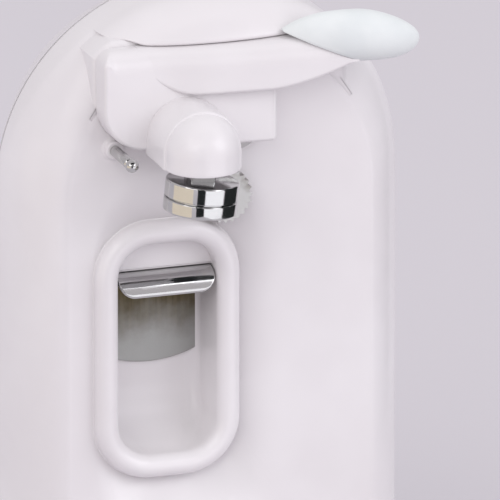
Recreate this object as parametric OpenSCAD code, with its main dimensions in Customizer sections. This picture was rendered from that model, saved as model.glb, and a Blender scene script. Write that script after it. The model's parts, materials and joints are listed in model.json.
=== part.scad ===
// Electric can opener with a magnetic lid holder and a recessed bottle opener.
//
// Frame: +Z up, -Y towards the user, +X to the user's right.
// Origin: on the surface that the feet rest on, at the middle of the overall box.
// Most pieces are drawn as seen from the front: x across, y up, z forward from the front face.
// The lever is modelled raised. Pressed down, it turns about the pivot, grip end downwards.

/* [Body] */
// Overall width, which is also the diameter of the arched top
body_w = 132; // [124:1:150]
// Overall height, feet included
body_h = 228; // [220:1:250]
// Width of the flat front face
face_w = 101; // [98:1:106]
// Front face to the joint line of the two shells
front_depth = 28; // [26:1:34]
// Room behind the motor's fan
rear_room = 1.9; // [1:0.1:14]
// Wall of both shells
wall = 2.6; // [2:0.1:3.2]
// Radius of the rounded rear edge
rear_edge_r = 20; // [12:1:24]
// Visible gap along the joint line
seam_gap = 0.5; // [0.3:0.1:0.8]
// Depth of the lip that locates the rear cover in the front shell
seam_lip = 3; // [2:0.5:5]

/* [Tower and brow] */
// Width of the straight-sided tower that carries the lever
tower_w = 85; // [82:1:96]
// Foot of the tower, below the body's top
tower_drop = 78; // [70:1:90]
// Underside of the brow above the lever, below the body's top
brow_drop = 11.5; // [9:0.5:11.5]
// How far the brow bulges forward of the front face
brow_reach = 10; // [6:1:12]
// Radius of the brow's rounded edge
brow_edge_r = 22; // [18:1:24]

/* [Feet] */
// Foot diameter
foot_d = 14; // [10:1:18]
// Height of a foot below the shells
foot_h = 2.5; // [2:0.5:4]
// Distance between the feet across the body
foot_spacing = 96; // [80:1:100]
// Front feet, distance behind the front face
foot_front = 15; // [12:1:18]
// Rear feet, distance in front of the back
foot_rear = 16; // [14:1:24]

/* [Fasteners] */
// Shell screw shank diameter
screw_d = 3; // [2.5:0.1:3.5]
// Shell screw head diameter
screw_head_d = 5.6; // [5:0.1:6.4]
// Outside diameter of the screw posts
post_d = 8.4; // [7.6:0.2:10]

/* [Cord inlet] */
// Bore of the inlet bushing
inlet_bore = 7; // [6:0.5:8]
// Hole in the rear cover for the bushing
inlet_d = 12; // [11:0.5:14]
// Height of the inlet above the table
inlet_z = 20; // [18:1:30]

/* [Air vents] */
// Number of slots
vent_count = 9; // [5:1:10]
// Slot length
vent_l = 46; // [30:1:60]
// Slot width
vent_w = 2.4; // [2:0.2:3]
// Distance from slot to slot
vent_pitch = 6; // [5:0.5:7]
// Height of the lowest slot
vent_z = 72; // [60:1:90]

/* [Bottle opener] */
// Centre line of the recess, from the middle of the body
recess_x = -18.5; // [-24:0.5:-16]
// Inside width of the recess
recess_w = 33; // [30:0.5:36]
// Height of the recess opening
recess_h = 70; // [60:1:76]
// Gap from the drive wheel down to the recess opening
recess_gap = 5.5; // [5.5:0.5:12]
// Depth of the recess behind the front face
recess_depth = 18; // [14:1:18]
// Wall of the recess cup
cup_wall = 2; // [1.6:0.1:2.4]
// Width of the raised ring round the recess
ring_w = 8; // [6:0.5:8]
// How far the ring stands out
ring_reach = 5; // [4.5:0.5:6]
// Thickness of the steel opener plate
plate_t = 1.2; // [1:0.1:1.6]
// Height of the opener plate
plate_h = 41; // [36:1:44]
// Top of the opener plate, below the top of the recess
plate_drop = 4; // [3:0.5:6]
// Height of the lip's flange on the plate
lip_flange_h = 5.5; // [5.5:0.5:7]
// How far the lip reaches forward of the front face
lip_reach = 3.5; // [1:0.5:5]
// Outside radius of the lip's curl
lip_curl_r = 7; // [6:0.5:8]
// Thickness of the lip
lip_t = 1.6; // [1.2:0.1:2]
// Side clearance of plate and lip in the recess
opener_gap = 0.3; // [0.2:0.1:0.6]
// Diameter of the opener rivets' heads
rivet_d = 3.4; // [3:0.1:3.6]

/* [Lever] */
// Pivot, from the middle of the body
pivot_x = -29; // [-30:0.5:-28]
// Pivot, below the body's top
pivot_drop = 31.4; // [31:0.2:32]
// Radius of the lever's round end about the pivot
lever_end_r = 12.7; // [12:0.1:13]
// Travel of the lever, degrees
lever_travel = 14; // [10:1:14]
// Underside of the lever's block, below the body's top
block_drop = 44; // [43.5:0.5:45]
// Right side of the lever's block, from the middle of the body
block_right = 15.7; // [14:0.5:17]
// Thickness of the lever's block
block_t = 9.4; // [9:0.1:10]
// Gap between the lever and the front face
lever_gap = 0.5; // [0.4:0.1:0.8]
// Clearance between the lever's top and the brow
brow_gap = 1.5; // [1.4:0.1:2.5]
// Underside of the hood, below the body's top
hood_drop = 28; // [26:0.5:30]
// Thickness of the hood at its left end
hood_t = 10.4; // [10:0.1:12]
// Angle by which the hood flares forward towards the grip
hood_flare = 4; // [2:0.5:5]
// Radius of the hood's rounded top edge
hood_edge_r = 3.4; // [3:0.2:5]
// Right end of the hood, where the grip starts
hood_right = 40; // [38:1:42]
// Diameter of the arm inside the grip
arm_d = 7; // [6:0.5:8]
// Right end of the arm
arm_right = 50; // [46:1:52]

/* [Lever pivot] */
// Pivot shaft diameter
pivot_d = 8; // [7:0.5:8.5]
// Outside diameter of the pivot bushing
pivot_bush_d = 12; // [11.5:0.5:13]
// Pivot bushing, length behind the front face
pivot_bush_l = 10; // [9:0.5:10.5]
// Wire of the return spring
spring_wire = 1.2; // [1:0.1:1.4]
// Turns of the return spring
spring_turns = 3; // [2:1:3]

/* [Magnet] */
// Centre of the magnet, from the middle of the body
magnet_x = -15; // [-16:0.5:-14]
// Centre of the magnet, forward of the front face
magnet_reach = 27; // [25:0.5:29]
// Magnet diameter
magnet_d = 23.2; // [22:0.2:24]
// Magnet thickness
magnet_t = 6.6; // [5:0.1:7]
// Thickness of the steel keeper above the magnet
keeper_t = 2.6; // [2:0.1:3]
// Gap between the pod and the keeper when level
keeper_gap = 5.1; // [4.6:0.1:6]
// Tilt at which the magnet hangs, degrees
magnet_tilt = 6; // [0:1:8]
// Diameter of the magnet's hinge pin
magnet_pin_d = 3; // [2.5:0.1:3.5]
// Width of the pod above the magnet
pod_w = 25.6; // [25:0.2:27]
// Underside of the pod, below the body's top
pod_drop = 45.5; // [45:0.5:46]
// Straight part of the pod below its round top
pod_straight = 4; // [3:0.5:5]
// Step between the pod's body and its domed front
pod_step = 0.6; // [0.4:0.1:1]
// Wall of the pod
pod_wall = 2; // [1.6:0.1:2.2]

/* [Cutting head] */
// Cutter centre when the lever is up, from the middle of the body
cutter_x = 3; // [2:0.5:4]
// Cutter centre when the lever is up, below the body's top
cutter_drop = 40.2; // [39.8:0.2:40.6]
// Cutter diameter
cutter_d = 16.8; // [16:0.2:17.2]
// Cutter thickness at the hub
cutter_t = 1.4; // [1:0.1:1.6]
// Cutter centre plane, forward of the front face
cutter_reach = 6.4; // [6.2:0.1:6.6]
// Cutter axle diameter
cutter_axle_d = 4; // [3.5:0.1:4.5]
// Drive wheel centre, from the middle of the body
drive_x = 0; // [-1:0.5:1]
// Drive wheel centre, below the body's top
drive_drop = 64.5; // [64:0.5:66]
// Drive wheel diameter
drive_wheel_d = 18; // [16:0.5:18.4]
// Drive wheel teeth
drive_wheel_teeth = 24; // [18:1:30]
// Drive wheel thickness
drive_wheel_t = 3.2; // [2.8:0.1:3.4]
// Gap between the drive wheel and its bushing
drive_wheel_gap = 0.4; // [0.3:0.1:0.6]
// Drive shaft diameter
drive_shaft_d = 6; // [5:0.5:6.5]
// Outside diameter of the drive bushings
drive_bush_d = 11; // [10:0.5:12]

/* [Can guide] */
// Guide pin centre, from the middle of the body
guide_x = -36; // [-38:0.5:-36]
// Guide pin centre, below the body's top
guide_drop = 46.6; // [46.6:0.2:48]
// Guide pin diameter
guide_d = 3.8; // [3:0.1:4]
// Guide pin length forward of the front face
guide_reach = 21.5; // [16:0.5:22]
// Diameter of the pin's boss
guide_boss_d = 6.4; // [5.6:0.1:6.6]

/* [Gear train] */
// Gear module
gear_module = 1.5; // [1.4:0.05:1.6]
// Teeth of the drive gear
drive_teeth = 32; // [32:2:32]
// Teeth of the cluster gear's wheel
cluster_teeth = 28; // [28:2:28]
// Teeth of the cluster gear's pinion
cluster_pinion_teeth = 10; // [10:2:10]
// Teeth of the motor pinion
motor_pinion_teeth = 8; // [8:2:8]
// Face width of the drive gear
drive_gear_t = 5; // [4:0.5:6]
// Face width of the cluster wheel
cluster_t = 4.2; // [3.5:0.1:5]
// Gear plate thickness
gear_plate_t = 2; // [1.5:0.1:2.5]
// Gap between the recess cup and the gear plate
gear_plate_gap = 4; // [3:0.5:6]
// Cluster gear pin diameter
cluster_pin_d = 5; // [4:0.5:5.5]
// Side play between pieces that turn
side_play = 0.3; // [0.3:0.05:0.5]
// Radial clearance of shafts in their bores
running_gap = 0.05; // [0.03:0.01:0.08]

/* [Motor] */
// Stator width
stator_w = 48; // [46:1:54]
// Stator, underside below the rotor's centre
stator_drop = 41; // [40:1:46]
// Stator, top above the rotor's centre
stator_rise = 22; // [20:1:24]
// Thickness of the stator's stack
stator_t = 14; // [12:1:16]
// Rotor diameter
rotor_d = 26; // [22:1:28]
// Air gap between rotor and stator
air_gap = 0.6; // [0.4:0.1:1]
// Rotor shaft diameter
rotor_shaft_d = 4; // [3:0.5:5]
// Length of the coil
coil_l = 30; // [26:1:30]
// Thickness of the winding
coil_t = 6; // [5:0.5:7]
// Height of the stator's leg inside the coil
leg_h = 12; // [10:1:13]
// Fan diameter
fan_d = 32; // [26:1:34]
// Fan blades
fan_blades = 7; // [5:1:11]

/* [Switch] */
// Switch body width
switch_w = 20; // [16:1:22]
// Switch body height
switch_h = 10; // [8:0.5:11]
// Switch body depth
switch_t = 8; // [6:0.5:9]
// Plunger diameter
plunger_d = 3; // [2.5:0.5:3.5]
// Plunger, distance from the lever's pivot
plunger_arm = 13; // [12:0.5:14]

/* [Hidden] */
$fn = 72;

cut = 1;
fit = 0.05;

// Heights, measured down from the body's top
tower_z = body_h - tower_drop;
brow_z = body_h - brow_drop;
lever_top = brow_z - brow_gap;
pivot_z = body_h - pivot_drop;
block_low = body_h - block_drop;
hood_low = body_h - hood_drop;
pod_low = body_h - pod_drop;
pod_spring = pod_low + pod_straight;
cutter_z = body_h - cutter_drop;
drive_z = body_h - drive_drop;
guide_z = body_h - guide_drop;
recess_top = drive_z - drive_wheel_d / 2 - recess_gap;
recess_low = recess_top - recess_h;

// Gear train, from the recess cup backwards
front_rim = 1.1;
drive_wheel_back = front_rim + drive_wheel_gap;
drive_bush_rim = 2;
gear_plate_back = recess_depth + cup_wall + gear_plate_gap;
gear_plate_rear = -(gear_plate_back + gear_plate_t);
drive_gear_front = gear_plate_rear - drive_bush_rim - side_play;
drive_gear_rear = drive_gear_front - drive_gear_t;
cluster_front = drive_gear_rear - 4 * side_play;
cluster_rear = cluster_front - cluster_t;
cluster_z = drive_z - gear_module * (drive_teeth + cluster_pinion_teeth) / 2;
motor_z = cluster_z - gear_module * (cluster_teeth + motor_pinion_teeth) / 2;
plate_bosses = [[-42, body_h - 65], [34, body_h - 42], [34, body_h - 138], [-42, body_h - 138]];
plate_margin = 4;
plate_foot = motor_z - 42;
plate_head = body_h - 37;

// Motor, from the gears backwards
bracket_t = 1.5;
bracket_h = 14;
bearing_d = 9;
bearing_boss_d = 12;
bearing_l = 4.6;
motor_front = cluster_rear - bearing_l - 0.8;
stator_front = motor_front - bracket_t;
stator_rear = stator_front - stator_t;
stator_low = motor_z - stator_drop;
motor_rear = stator_rear - bracket_t;
stator_bore = rotor_d + 2 * air_gap;
bobbin_t = 1;
post_x = 19.5;
post_drop = 35;
fan_front = motor_rear - bearing_l - 0.2;
fan_t = 2.6;

// Body
body_r = body_w / 2;
spring_z = body_h - body_r;
face_r = face_w / 2;
front_edge_r = body_r - face_r;
tower_r = body_r - 0.6;
inner_back = fan_front - fan_t - rear_room;
body_depth = wall - inner_back;
bushing_flange = 1.6;
pod_r = pod_w / 2;
dome_r = pod_r - pod_step;
pod_reach = magnet_reach + dome_r;
face_y = (pod_reach - body_depth - bushing_flange) / 2;
seam = -front_depth;
foot_stem_d = 5;
screw_seat = seam - 12;
screw_tip = seam + 16;
shell_post_x = body_r - 15;
shell_posts = [[shell_post_x, 30], [-shell_post_x, 30], [shell_post_x, body_h - 78],
               [-shell_post_x, body_h - 78], [8, body_h - 20]];

// Bottle opener
recess_corner_r = 11;
recess_r = recess_w / 2;
scoop_z = recess_low + recess_depth;
plate_top = recess_top - plate_drop;
plate_low = plate_top - plate_h;
plate_edge_r = 40;
lip_z = plate_top - lip_flange_h;
rivet_shank_d = 2.4;
rivet_spacing = 20;
rivet_z = (plate_top + lip_z + lip_t) / 2;
rivet_seat = -recess_depth + plate_t + lip_t;

// Lever
hood_flat = [-11, 12];
slot_back = cutter_reach - cutter_t / 2 - 0.4;
slot_front = cutter_reach + cutter_t / 2 + 0.4;
grip_split = [29.5, lever_top - 2.7];
grip_split_angle = -22.7;
arm_z = lever_top - 1.8;
arm_reach = 11;
arm_left = 20;
magnet_pin_z = pod_spring + magnet_pin_d / 2;
magnet_low = pod_low - keeper_gap - keeper_t - magnet_t;

// Lever pivot and switch
clip_t = 0.8;
spring_r = (pivot_d + spring_wire) / 2 + 0.4;
spring_leg = 9;
spring_front = -pivot_bush_l - 1 - clip_t - side_play - spring_wire / 2;
spring_pitch = spring_wire + 0.15;
finger_front = spring_front - spring_pitch * spring_turns - spring_wire / 2 - side_play;
finger_t = 3.6;
finger_half = 2;
plunger_x = pivot_x + plunger_arm;
plunger_reach = finger_front - finger_t / 2;
plunger_top = pivot_z - finger_half - side_play;
switch_top = plunger_top - 5;

// The balls that the grip is rounded over: x, height, forward reach and radius
grip_balls = [[21.5, lever_top + 2.4, 10.5, 3.2], [34.5, lever_top + 1.4, 11.5, 7.3],
              [47, lever_top - 0.8, 12, 7.4], [57, lever_top - 4, 12.4, 4.6]];

// ---------- Views and shared shapes ----------

// Children are drawn as seen from the front: x across, y up, z forward from the front face
module front_view() translate([0, face_y, 0]) rotate([90, 0, 0]) children();

// A 2-D outline seen from the front, thick from back to front
module slab(back, front)
    front_view() translate([0, 0, back]) linear_extrude(front - back) children();

// A round bar that points forward
module rod(x, z, d, back, front)
    front_view() translate([x, z, back]) cylinder(d = d, h = front - back);

// A 2-D section seen from the side, reach forward across and height up, swept from x0 to x1
module side_view(x0, x1)
    translate([x0, face_y, 0]) mirror([0, 1, 0]) rotate([90, 0, 90])
        linear_extrude(x1 - x0) children();

// A section of radius and reach, carried over the arch and down both straight sides
module arched(low) {
    front_view() translate([0, spring_z, 0]) rotate_extrude(angle = 180) children();
    translate([0, face_y, low]) linear_extrude(spring_z - low)
        for (side = [0, 1]) mirror([side, 0]) mirror([0, 1]) children();
}

// A section from the centre line out to radius r, with a round edge at the front
module rounded_section(r, back, front, edge, inset) {
    translate([0, back]) square([r - edge, front - inset - back]);
    translate([0, back]) square([r - inset, front - edge - back]);
    translate([r - edge, front - edge]) intersection() {
        circle(r = edge - inset);
        square(edge);
    }
}

// A rounded rectangle between two corners
module rounded_box(x0, z0, x1, z1, r) {
    translate([x0 + r, z0]) square([x1 - x0 - 2 * r, z1 - z0]);
    translate([x0, z0 + r]) square([x1 - x0, z1 - z0 - 2 * r]);
    for (x = [x0 + r, x1 - r], z = [z0 + r, z1 - r]) translate([x, z]) circle(r = r);
}

// A slot with round ends
module slot_outline(l, w) {
    square([l - w, w], center = true);
    for (side = [-1, 1]) translate([side * (l - w) / 2, 0]) circle(d = w);
}

// A spur gear outline with a tooth at angle 0
module gear_outline(teeth, size = gear_module) {
    root = size * teeth / 2 - 1.1 * size;
    tip = size * teeth / 2 + 0.8 * size;
    step = 360 / teeth;
    polygon([for (i = [0 : teeth - 1], side = [[root, -0.29], [tip, -0.13], [tip, 0.13],
                                               [root, 0.29]])
             side[0] * [cos((i + side[1]) * step), sin((i + side[1]) * step)]]);
}

// ---------- Shells ----------

module front_form(inset, back, low) {
    arched(low) rounded_section(body_r, back, 0, front_edge_r, inset);
    slab(-front_edge_r - cut, -inset) intersection() {
        translate([0, spring_z]) circle(r = tower_r - inset);
        translate([-tower_w / 2 + inset, tower_z])
            square([tower_w - 2 * inset, brow_z + inset + 0.5 - tower_z]);
    }
    intersection() {
        front_view() translate([0, spring_z, 0]) rotate_extrude(angle = 180)
            rounded_section(body_r, -front_edge_r, brow_reach, brow_edge_r, inset);
        slab(-front_depth, brow_reach + cut)
            translate([-body_r, brow_z + inset]) square([body_w, body_r]);
    }
}

module recess_outline(grow)
    rounded_box(recess_x - recess_r - grow, recess_low - grow, recess_x + recess_r + grow,
                recess_top + grow, recess_corner_r + grow);

module front_housing() color("whitesmoke") difference() {
    union() {
        difference() {
            front_form(0, seam, foot_h);
            front_form(wall, seam - cut, foot_h + wall);
        }
        for (post = shell_posts) rod(post[0], post[1], post_d, seam, -wall + 0.6);
        for (boss = plate_bosses)
            rod(boss[0], boss[1], post_d, -gear_plate_back, -wall + 0.6);
        rod(pivot_x, pivot_z, pivot_bush_d + 2 * wall, -pivot_bush_l, -wall + 0.6);
        rod(drive_x, drive_z, drive_bush_d + 2 * wall, -pivot_bush_l, -wall + 0.6);
        rod(guide_x, guide_z, guide_boss_d, -wall - 4, 2.5);
    }
    slab(-wall - cut, cut) recess_outline(cup_wall + fit);
    rod(pivot_x, pivot_z, pivot_bush_d + 2 * fit, -pivot_bush_l - cut, cut);
    rod(drive_x, drive_z, drive_bush_d + 2 * fit, -pivot_bush_l - cut, cut);
    rod(guide_x, guide_z, guide_d + 2 * fit, -wall - 3, 3);
    for (post = shell_posts) rod(post[0], post[1], screw_d + 2 * fit, seam - cut, screw_tip + 1);
    for (boss = plate_bosses)
        rod(boss[0], boss[1], screw_d + 2 * fit, -gear_plate_back - cut, screw_tip - 4);
    foot_holes(foot_front);
}

module rear_form(inset, start, low)
    arched(low) translate([0, start]) mirror([0, 1])
        rounded_section(body_r, 0, body_depth + start, rear_edge_r, inset);

module rear_cover() color("white") difference() {
    union() {
        difference() {
            rear_form(0, seam - seam_gap, foot_h);
            rear_form(wall, seam - seam_gap + cut, foot_h + wall);
        }
        arched(foot_h + wall) {
            translate([body_r - wall - 1.6, seam - seam_gap - seam_lip]) square([2.2, seam_lip]);
            translate([body_r - wall - 1.6, seam - seam_gap - seam_lip])
                square([1.6 - 2 * fit, 2 * seam_lip + seam_gap]);
        }
        for (post = shell_posts)
            rod(post[0], post[1], post_d, inner_back - 0.2, seam - seam_gap);
    }
    for (post = shell_posts) {
        rod(post[0], post[1], screw_head_d + 0.4, -body_depth - cut, screw_seat);
        rod(post[0], post[1], screw_d + 0.4, -body_depth - cut, seam + cut);
    }
    rod(0, inlet_z, inlet_d + 2 * fit, -body_depth - cut, inner_back + cut);
    for (i = [0 : vent_count - 1])
        slab(-body_depth - cut, inner_back + cut)
            translate([0, vent_z + i * vent_pitch]) slot_outline(vent_l, vent_w);
    foot_holes(body_depth - foot_rear);
}

module foot_holes(back)
    for (side = [-1, 1])
        translate([side * foot_spacing / 2, face_y + back, 0])
            cylinder(d = foot_stem_d + 2 * fit, h = foot_h + wall + cut);

module feet() color("dimgray")
    for (side = [-1, 1], back = [foot_front, body_depth - foot_rear])
        translate([side * foot_spacing / 2, face_y + back, 0]) {
            cylinder(d1 = foot_d - 2, d2 = foot_d, h = 1);
            translate([0, 0, 1]) cylinder(d = foot_d, h = foot_h - 1);
            cylinder(d = foot_stem_d, h = foot_h + wall);
        }

module cord_inlet_bushing() color("silver") difference() {
    union() {
        rod(0, inlet_z, inlet_d + 4, -body_depth - bushing_flange, -body_depth);
        rod(0, inlet_z, inlet_d, -body_depth - bushing_flange, inner_back + bushing_flange);
        rod(0, inlet_z, inlet_d + 3, inner_back, inner_back + bushing_flange);
    }
    rod(0, inlet_z, inlet_bore, -body_depth - bushing_flange - cut, inner_back + 2 * cut + 1);
}

module housing_screws() color("silver")
    for (post = shell_posts) {
        rod(post[0], post[1], screw_head_d, screw_seat - 2, screw_seat);
        rod(post[0], post[1], screw_d, screw_seat, screw_tip);
    }

module can_guide_pin() color("gainsboro") {
    rod(guide_x, guide_z, guide_d, -wall - 2.8, guide_reach - guide_d / 2);
    front_view() translate([guide_x, guide_z, guide_reach - guide_d / 2])
        sphere(d = guide_d + 0.2);
}

// ---------- Bottle opener ----------

// The recess from the side: deep at the top, scooped forward to nothing at the bottom
module recess_section(grow, front) {
    translate([-recess_depth - grow, scoop_z])
        square([recess_depth + grow + front, recess_top + grow - scoop_z]);
    translate([0, scoop_z]) circle(r = recess_depth + grow);
}

// A section swept round the recess; x is the distance outside the recess's edge
module recess_sweep() {
    left = recess_x - recess_r;
    right = recess_x + recess_r;
    r = recess_corner_r;
    corners = [[right, recess_top, 0], [left, recess_top, 90], [left, recess_low, 180],
               [right, recess_low, 270]];
    for (c = corners)
        translate([c[0] - r * sign(c[0] - recess_x), c[1] - r * (c[1] == recess_top ? 1 : -1), 0])
            rotate([0, 0, c[2]]) rotate_extrude(angle = 90) translate([r, 0]) children();
    for (side = [0, 1])
        translate([recess_x, 0, 0]) mirror([side, 0, 0]) translate([0, recess_top - r, 0])
            rotate([90, 0, 0]) linear_extrude(recess_top - recess_low - 2 * r)
                translate([recess_r, 0]) children();
    for (edge = [[recess_top, 0], [recess_low, 1]])
        translate([recess_x - recess_r + r, edge[0], 0]) mirror([0, edge[1], 0])
            rotate([90, 0, 90]) linear_extrude(recess_w - 2 * r) children();
}

module ring_section() {
    square([ring_w, ring_reach - ring_w / 2]);
    translate([ring_w / 2, ring_reach - ring_w / 2]) intersection() {
        circle(d = ring_w);
        translate([-ring_w / 2, 0]) square([ring_w, ring_w]);
    }
}

module recess_cup() color("white") difference() {
    union() {
        intersection() {
            slab(-recess_depth - cup_wall, 0) recess_outline(cup_wall);
            side_view(recess_x - body_r, recess_x + body_r) recess_section(cup_wall, cut);
        }
        front_view() recess_sweep() ring_section();
    }
    intersection() {
        slab(-recess_depth, cut) recess_outline(0);
        side_view(recess_x - body_r, recess_x + body_r) recess_section(0, 2 * cut);
    }
    rivet_holes(-recess_depth - cup_wall - cut, -recess_depth + cut);
}

module rivet_holes(back, front)
    for (side = [-1, 1])
        rod(recess_x + side * rivet_spacing / 2, rivet_z, rivet_shank_d + 2 * fit, back, front);

module opener_plate() color("silver") difference() {
    slab(-recess_depth, -recess_depth + plate_t) intersection() {
        recess_outline(-opener_gap);
        translate([recess_x - recess_r, plate_low]) square([recess_w, plate_top - plate_low]);
        translate([recess_x, plate_low + plate_edge_r]) circle(r = plate_edge_r, $fn = 180);
    }
    rivet_holes(-recess_depth - cut, -recess_depth + plate_t + cut);
}

// The lip from the side: a flange on the plate, a shelf and a curl that hooks under a crown cap
module lip_section() {
    back = -recess_depth + plate_t;
    curl_x = lip_reach - lip_curl_r;
    curl_z = lip_z + lip_t - lip_curl_r;
    translate([back, lip_z]) square([lip_t, lip_flange_h]);
    translate([back, lip_z]) square([curl_x - back, lip_t]);
    translate([curl_x, curl_z]) intersection() {
        difference() {
            circle(r = lip_curl_r);
            circle(r = lip_curl_r - lip_t);
        }
        translate([0, -1]) square(lip_curl_r + 1);
    }
}

module opener_lip() color("gainsboro") difference() {
    intersection() {
        side_view(recess_x - recess_r + opener_gap, recess_x + recess_r - opener_gap)
            lip_section();
        slab(-recess_depth, lip_reach + cut) intersection() {
            recess_outline(-opener_gap);
            rounded_box(recess_x - recess_r, lip_z - 6.6, recess_x + recess_r, plate_top, 6);
        }
    }
    rivet_holes(-recess_depth, -recess_depth + plate_t + lip_t + cut);
}

module opener_rivets() color("silver")
    for (side = [-1, 1]) {
        x = recess_x + side * rivet_spacing / 2;
        rod(x, rivet_z, rivet_shank_d, -recess_depth - cup_wall - 1, rivet_seat + 0.5);
        rod(x, rivet_z, rivet_d, rivet_seat, rivet_seat + 1);
        rod(x, rivet_z, rivet_d, -recess_depth - cup_wall - 1, -recess_depth - cup_wall);
    }

// ---------- Lever ----------

module block_outline() {
    translate([pivot_x, pivot_z]) circle(r = lever_end_r);
    translate([pivot_x - lever_end_r, pivot_z]) square([lever_end_r * 2, lever_top - pivot_z]);
    translate([pivot_x, block_low]) square([block_right - pivot_x, lever_top - block_low]);
}

// Underside of the hood: lowest over the cutting head, rising to both ends
function hood_edge(x) =
    x < hood_flat[0] ? hood_low + 9 * pow((hood_flat[0] - x) / (hood_flat[0] - pivot_x), 2) :
    x > hood_flat[1] ? hood_low + 7.5 * pow((x - hood_flat[1]) / (hood_right - hood_flat[1]), 1.6) :
    hood_low;

module hood_outline() {
    left = pivot_x - lever_end_r;
    polygon(concat([[hood_right, lever_top], [left, lever_top], [left, hood_edge(pivot_x)]],
                   [for (i = [0 : 24]) let (x = pivot_x + (hood_right - pivot_x) * i / 24)
                    [x, hood_edge(x)]]));
}

// The half plane on the grip's side of the slanted joint between hood and grip
module grip_side(gap)
    translate(grip_split) rotate(grip_split_angle) translate([-45, gap]) square([100, 45]);

module lever_body() color("white") difference() {
    union() {
        slab(lever_gap, block_t) block_outline();
        intersection() {
            slab(lever_gap, 3 * hood_t) difference() {
                hood_outline();
                grip_side(-fit);
            }
            hood_flared() rounded_section_side();
        }
        along_arm() cylinder(d = arm_d, h = arm_right - arm_left);
    }
    rod(pivot_x, pivot_z, pivot_d + 2 * fit, lever_gap - cut, block_t - 2.4);
    rod(cutter_x, cutter_z, cutter_d + 2, slot_back, slot_front);
    slab(slot_back, slot_front) translate([cutter_x - cutter_d / 2 - 1, block_low - cut])
        square([cutter_d + 2, cutter_z - block_low + cut]);
    rod(cutter_x, cutter_z, cutter_axle_d + 2 * fit, lever_gap - cut, block_t - 1);
}

// The hood's section from the side, carried along x and turned forward by the flare
module hood_flared()
    translate([pivot_x - lever_end_r, face_y - lever_gap, 0]) rotate([0, 0, -hood_flare])
        mirror([0, 1, 0]) rotate([90, 0, 90]) linear_extrude(body_w) children();

module rounded_section_side() {
    translate([0, block_low]) square([hood_t - lever_gap, lever_top - hood_edge_r - block_low]);
    translate([0, block_low]) square([hood_t - lever_gap - hood_edge_r, lever_top - block_low]);
    translate([hood_t - lever_gap - hood_edge_r, lever_top - hood_edge_r]) circle(r = hood_edge_r);
}

module along_arm()
    translate([arm_left, face_y - arm_reach, arm_z]) rotate([0, 90, 0]) children();

module lever_grip() color("honeydew") difference() {
    intersection() {
        hull() for (ball = grip_balls)
            front_view() translate([ball[0], ball[1], ball[2]]) sphere(r = ball[3], $fn = 40);
        slab(0, 40) grip_side(fit);
    }
    along_arm() cylinder(d = arm_d + 2 * fit, h = arm_right - arm_left + fit);
}

module pivot_shaft() color("silver")
    difference() {
        rod(pivot_x, pivot_z, pivot_d, finger_front - finger_t - 0.5, block_t - 2.6);
        front_view() translate([pivot_x, pivot_z, -pivot_bush_l - 1 - clip_t])
            rotate_extrude() translate([pivot_d / 2 - 0.5, 0]) square([2, clip_t]);
    }

module pivot_bushing() color("peru") difference() {
    rod(pivot_x, pivot_z, pivot_bush_d, -pivot_bush_l - 0.5, 0);
    rod(pivot_x, pivot_z, pivot_d + 2 * running_gap, -pivot_bush_l - cut, cut);
}

module pivot_clip() color("silver") difference() {
    rod(pivot_x, pivot_z, pivot_d + 4, -pivot_bush_l - 1 - clip_t + 0.05, -pivot_bush_l - 1.05);
    rod(pivot_x, pivot_z, pivot_d - 0.9, -body_r, 0);
    slab(-body_r, 0) translate([pivot_x - 2.4, pivot_z]) square([4.8, pivot_d]);
}

// A round wire swept along a list of points as one closed tube
module wire(points, d, sides = 8) {
    last = len(points) - 1;
    rings = [for (i = [0 : last])
        let (ahead = points[min(i + 1, last)] - points[max(i - 1, 0)],
             along = ahead / norm(ahead),
             across = cross(along, [0, 0, 1]),
             u = norm(across) < 0.01 ? [1, 0, 0] : across / norm(across),
             v = cross(along, u))
        for (k = [0 : sides - 1])
            points[i] + d / 2 * (cos(360 * k / sides) * u + sin(360 * k / sides) * v)];
    walls = [for (i = [0 : last - 1], k = [0 : sides - 1])
        let (n = (k + 1) % sides)
        [i * sides + k, i * sides + n, (i + 1) * sides + n, (i + 1) * sides + k]];
    ends = [[for (k = [sides - 1 : -1 : 0]) k], [for (k = [0 : sides - 1]) last * sides + k]];
    polyhedron(rings, concat(walls, ends));
}

module return_spring() color("silver") {
    coil = [for (i = [0 : 24 * spring_turns])
        [spring_r * cos(15 * i), spring_r * sin(15 * i), -spring_pitch * i / 24]];
    end_z = -spring_pitch * spring_turns;
    front_view() translate([pivot_x, pivot_z, spring_front])
        wire(concat([[spring_r, -spring_leg, 0]], coil, [[spring_r, spring_leg, end_z]]), spring_wire);
}

module switch_finger() color("ivory") difference() {
    union() {
        rod(pivot_x, pivot_z, pivot_d + 5, finger_front - finger_t, finger_front);
        slab(finger_front - finger_t, finger_front)
            translate([pivot_x, pivot_z - finger_half])
                square([plunger_arm + plunger_d / 2 + 1, 2 * finger_half]);
    }
    rod(pivot_x, pivot_z, pivot_d + 2 * fit, -body_r, 0);
}

// ---------- Magnet ----------

// Children are drawn level, about the magnet's hinge, and hang at the resting tilt
module hanging()
    translate([magnet_x, face_y - magnet_reach, magnet_pin_z]) rotate([0, magnet_tilt, 0])
        translate([0, 0, -magnet_pin_z]) children();

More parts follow.
